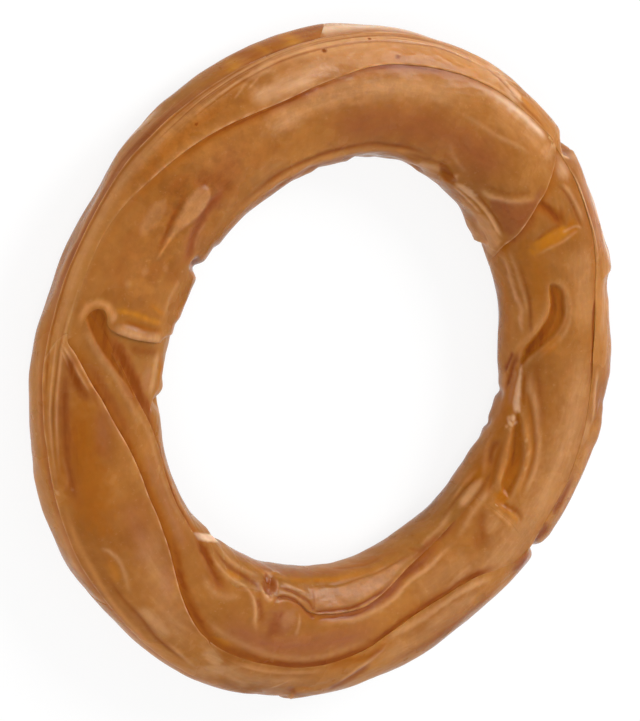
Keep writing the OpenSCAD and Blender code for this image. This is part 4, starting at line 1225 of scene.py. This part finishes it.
# The band on the right
rightRimWrap = dict(
    start=319.0, end=407.4, low=rimSeam, high=rightSeam, lowOver=always, highOver=always,
    startOver=0, endOver=-1, pitch=0.34, endDip=0.05,
    marks=edgeMarks(0.0) + [
        fold([(317, 12), (322, 11), (325.6, 10.8)], -0.12, 1.5, groove=0.85, blush=0.5),
        fold([(326.6, 11.3), (330, 11), (336, 10.8)], -0.12, 1.3, groove=0.85, blush=0.5),
        fold([(350, 11), (350.2, 8), (350, 5.5), (349.8, 3)], -0.3, 1.3, ends=(0.25, 0.02), groove=0.2),
        wash([(377, 9.4), (388, 8.8), (398, 8.4)], 2.4, blush=0.5),
        fold([(378, 13), (385, 12), (392, 11.5), (400, 10.9)], 0.15, 0.35, pale=0.6),
        fold([(380, 12.2), (390, 11), (400, 10.2)], -0.08, 0.3, groove=0.5),
        fold([(400.4, 8.4), (402, 10), (404.6, 11.8)], 0.15, 0.4, pale=0.7),
        wash([(376, 10), (390, 9), (400, 8.4)], 1.4, amber=0.3, stripe=0.5),
        # a white line along the outer edge of the right rim: painted highlight
        wash([(376, 6.6), (384, 6.2), (395, 5.6)], 0.9, ends=(0.2, 0.4), pale=0.4, chalk=0.75),
        fold([(345, 11), (349, 11.8), (353, 13.4), (358, 13.8)], 0.12, 0.5, pale=0.5),
        fold([(324, 9), (340, 9.6), (348, 10.2)], 0.05, 1.4, pale=0.2),
        tint((344.4, 12.2), (4.0, 1.6), pale=0.4)])

# The back, three sheets end to end, folded and creased as they were pressed
leftLap = [(44, 219.4), (54, 217.2), (64, 219.6), (72, 216.8), (78, 218.2), (86, 220)]
rightLap = [(44, 336.8), (54, 339), (62, 337.2), (70, 340), (78, 337.4), (86, 336.4)]

backLeftWrap = dict(
    start=98.0, end=218.0, low=backSeam, high=backRim, lowOver=never, highOver=never,
    startOver=1, endOver=-1, pitch=0.6, startLift=0.05,
    startLine=[(48, 98), (70, 97), (76, 96.8), (82, 100.4)], endLine=leftLap, endDip=0.12,
    marks=edgeMarks(girth) + [
        wash([(97, 79), (108, 79.4), (123, 79)], 4.8, ends=(0.01, 0.2), amber=1.0, groove=0.5),
        wash([(96, 74.2), (108, 74.6), (124, 74.4)], 1.4, ends=(0.02, 0.3), groove=0.5),
        wash([(100.6, 72), (101, 78), (101.6, 82.8)], 1.4, ends=(0.5, 0.02), groove=0.5),
        fold([(105.8, 74), (105, 79), (105.4, 82.8)], 0.06, 1.9, ends=(0.6, 0.02), gold=1.0),
        wash([(108.8, 72), (108.2, 78), (108.4, 82.8)], 0.9, ends=(0.5, 0.02), groove=0.45),
        wash([(110.8, 75), (110.4, 79), (110.6, 82.4)], 0.8, ends=(0.5, 0.2), gold=0.6),
        fold([(113, 72), (112.8, 78), (113.2, 82.8)], -0.06, 1.3, ends=(0.5, 0.02), groove=0.5),
        fold([(117.4, 73.6), (116.2, 78.4), (117, 82.4)], 0.06, 1.9, ends=(0.6, 0.1), gold=0.9),
        fold([(121, 80.4), (145, 79.9), (172, 79.8)], -0.2, 1.2, groove=0.5, blush=0.5, stripe=1.0),
        wash([(176, 75.6), (188, 76.2), (203, 77.6)], 2.2, pale=0.3, blush=0.3),
        fold([(126, 79.2), (145, 78.9), (166, 78.8)], 0.15, 0.5, pale=0.35),
        wash([(129, 76.8), (135, 75.4), (141, 73.4)], 0.9, ends=(0.3, 0.3), pale=0.6, chalk=0.3),
        fold([(170, 79.4), (180, 80.8), (192, 81)], 0.15, 0.8, pale=0.35),
        # a pinkish pale band on the outer edge at the lower left: painted highlight
        wash([(197, 81.6), (206, 81.8), (215, 81.4)], 1.7, pale=0.45),
        fold([(112, 52), (125, 58), (138, 66), (146, 73)], -0.9, 1.2, groove=0.6),
        fold([(150, 51), (162, 55), (176, 57), (190, 55)], -0.7, 1.0, groove=0.5),
        fold([(166, 72), (178, 66), (192, 63), (206, 66)], -0.8, 1.3, groove=0.5),
        blot((134, 59), (9.0, 3.5), -0.35, turn=25.0, pale=0.3)])

backLowerWrap = dict(
    start=218.0, end=338.0, low=backSeam, high=backRim, lowOver=never, highOver=never,
    startOver=1, endOver=-1, pitch=0.6, startLine=leftLap, endLine=rightLap,
    startLift=[(48, 0.3), (66, 0.3), (74, 0.03), (86, 0.03)],
    marks=edgeMarks(girth) + innerMarks + [
        fold([(226, 73), (240, 68), (252, 59), (260, 52)], -0.9, 1.2, groove=0.6),
        fold([(258, 75), (274, 72), (290, 73), (304, 70)], -0.6, 1.1, groove=0.45),
        fold([(272, 53), (286, 58), (300, 60), (318, 56)], -0.8, 1.2, groove=0.55),
        fold([(312, 74), (320, 68), (326, 60)], -0.7, 1.0, groove=0.5),
        blot((292, 66), (10.0, 4.0), -0.3, turn=-10.0, pale=0.3)])

backRightWrap = dict(
    start=338.0, end=461.5, low=backSeam, high=backRim, lowOver=never, highOver=never,
    startOver=1, endOver=-1, pitch=0.6, startLine=rightLap, endDip=0.02,
    marks=edgeMarks(girth) + innerMarks + [
        fold([(349.8, 82), (349.6, 77), (350, 72)], -0.3, 1.0, groove=0.3),
        fold([(346, 52), (358, 57), (368, 64), (374, 72)], -0.9, 1.2, groove=0.6),
        fold([(380, 74), (396, 70), (412, 71), (428, 75)], -0.6, 1.1, groove=0.45),
        fold([(384, 53), (398, 57), (414, 58), (430, 54)], -0.8, 1.2, groove=0.55),
        fold([(436, 52), (442, 60), (450, 68)], -0.7, 1.0, groove=0.5),
        blot((405, 64), (11.0, 4.0), -0.3, turn=8.0, pale=0.3),
        # a pale band along the top of the rim: painted highlight
        wash([(428, 80.4), (444, 80.2), (460, 79.8)], 2.9, ends=(0.45, 0.03), pale=0.75, chalk=0.5),
        blot((433, 80), (10.0, 6.0), -0.3)])

# Each sheet laid in its place, by the side of the ring that it covers
sheets = {
    "face": {"top_face_wrap": topFaceWrap, "right_face_wrap": rightFaceWrap,
             "lower_face_wrap": lowerFaceWrap},
    "inner": {"inner_left_wrap": innerLeftWrap, "inner_lower_wrap": innerLowerWrap},
    "rim": {"upper_rim_wrap": upperRimWrap, "left_rim_wrap": leftRimWrap, "lower_rim_wrap": lowerRimWrap,
            "right_rim_wrap": rightRimWrap},
    "back": {"back_left_wrap": backLeftWrap, "back_lower_wrap": backLowerWrap,
             "back_right_wrap": backRightWrap}}
for side, wraps in sheets.items():
    for node, wrap in wraps.items():
        layHide(node, side + "_hide", **wrap)
    print(side, "wraps laid")

# The core strips keep their CAD shape
for number in range(1, 5):
    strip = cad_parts["core_strip_%d" % number]
    strip.data.materials.clear()
    strip.data.materials.append(hideOf["core_hide"])

# The camera stands where the photograph was taken from
tilt = math.radians(36.6)
lean = math.radians(22.9)
eyeFar = 0.550
eyeAside = (0.0042, 0.0015)
photoWide = 640.0
photoHigh = 721.0
focalPixels = 2501.0
sensorWide = 36.0

axis = Vector((math.sin(tilt) * math.cos(lean), math.sin(tilt) * math.sin(lean), -math.cos(tilt)))
turned = Vector((0.0, 0.0, -1.0)).rotation_difference(axis).to_matrix()
ringAxes = (Vector((1, 0, 0)), Vector((0, -1, 0)), Vector((0, 0, -1)))
look = Matrix([turned @ ringAxis for ringAxis in ringAxes]).transposed()
eye = -(look.transposed() @ Vector((*eyeAside, eyeFar))) + Vector((0, 0, restHeight * mm))
right, down, away = look[0].copy(), look[1].copy(), look[2].copy()

cameraData = bpy.data.cameras.new("camera")
cameraData.sensor_width = sensorWide
cameraData.lens = focalPixels / max(photoWide, photoHigh) * sensorWide
camera = bpy.data.objects.new("camera", cameraData)
bpy.context.scene.collection.objects.link(camera)
camera.matrix_world = Matrix.Translation(eye) @ Matrix((right, -down, -away)).transposed().to_4x4()
bpy.context.scene.camera = camera


# Soft boxes, placed by how the photograph sees them: to the right, up and towards the camera
def softBox(name, aim, far, wide, power, shows=True):
    data = bpy.data.lights.new(name, "AREA")
    data.shape = "DISK"
    data.size = wide
    data.energy = power
    lamp = bpy.data.objects.new(name, data)
    bpy.context.scene.collection.objects.link(lamp)
    direction = (right * aim[0] - down * aim[1] - away * aim[2]).normalized()
    lamp.location = direction * far
    lamp.rotation_mode = "QUATERNION"
    lamp.rotation_quaternion = direction.to_track_quat("Z", "Y")
    lamp.visible_glossy = shows  # a hidden one lights the hide but leaves no shine on it


softBox("key", aim=(0.85, 0.42, 0.25), far=0.9, wide=0.46, power=6.6)
softBox("fill", aim=(-0.1, -0.3, 0.9), far=0.9, wide=0.6, power=4.2, shows=False)

worldLight = 0.42
world = bpy.data.worlds.new("studio")
world.use_nodes = True
bpy.context.scene.world = world
worldNodes = world.node_tree.nodes
worldLinks = world.node_tree.links
backdrop = worldNodes["Background"]


# Where a ray from the camera, a mirror or clear glass arrives, the background is plain white
def whiteRays(nodes, links):
    rays = nodes.new("ShaderNodeLightPath")
    seen = mathNode(nodes, links, "MAXIMUM", rays.outputs["Is Camera Ray"], rays.outputs["Is Glossy Ray"])
    return mathNode(nodes, links, "MAXIMUM", seen, rays.outputs["Is Transmission Ray"])


level = rangeNode(worldNodes, worldLinks, whiteRays(worldNodes, worldLinks), 0.0, 1.0, worldLight, 1.0)
worldLinks.new(level, backdrop.inputs["Strength"])
backdrop.inputs["Color"].default_value = (1.0, 1.0, 1.0, 1.0)

floorWide = 3.0
floorDrop = 0.0003
floorWhiteShare = 0.85  # the rest of what the camera sees of the floor is its lit colour
bm = bmesh.new()
bmesh.ops.create_grid(bm, x_segments=1, y_segments=1, size=floorWide / 2)
bmesh.ops.translate(bm, vec=(0, 0, -floorDrop), verts=bm.verts[:])
floorMesh = bpy.data.meshes.new("floor")
bm.to_mesh(floorMesh)
bm.free()
floor = bpy.data.objects.new("floor", floorMesh)
bpy.context.scene.collection.objects.link(floor)
floorPaint = bpy.data.materials.new("floor_white")
floorPaint.use_nodes = True
floorNodes = floorPaint.node_tree.nodes
floorLinks = floorPaint.node_tree.links
floorShader = floorNodes["Principled BSDF"]
floorShader.inputs["Base Color"].default_value = (0.95, 0.95, 0.95, 1.0)
floorShader.inputs["Roughness"].default_value = 0.9
floorShader.inputs["Specular IOR Level"].default_value = 0.0
floorGlow = floorNodes.new("ShaderNodeEmission")
floorMix = floorNodes.new("ShaderNodeMixShader")
floorRays = whiteRays(floorNodes, floorLinks)
floorShare = mathNode(floorNodes, floorLinks, "MULTIPLY", floorRays, floorWhiteShare)
floorLinks.new(floorShare, floorMix.inputs[0])
floorLinks.new(floorShader.outputs[0], floorMix.inputs[1])
floorLinks.new(floorGlow.outputs[0], floorMix.inputs[2])
floorLinks.new(floorMix.outputs[0], floorNodes["Material Output"].inputs["Surface"])
floorMesh.materials.append(floorPaint)

bpy.context.scene.view_settings.view_transform = "Standard"
print("scene set")
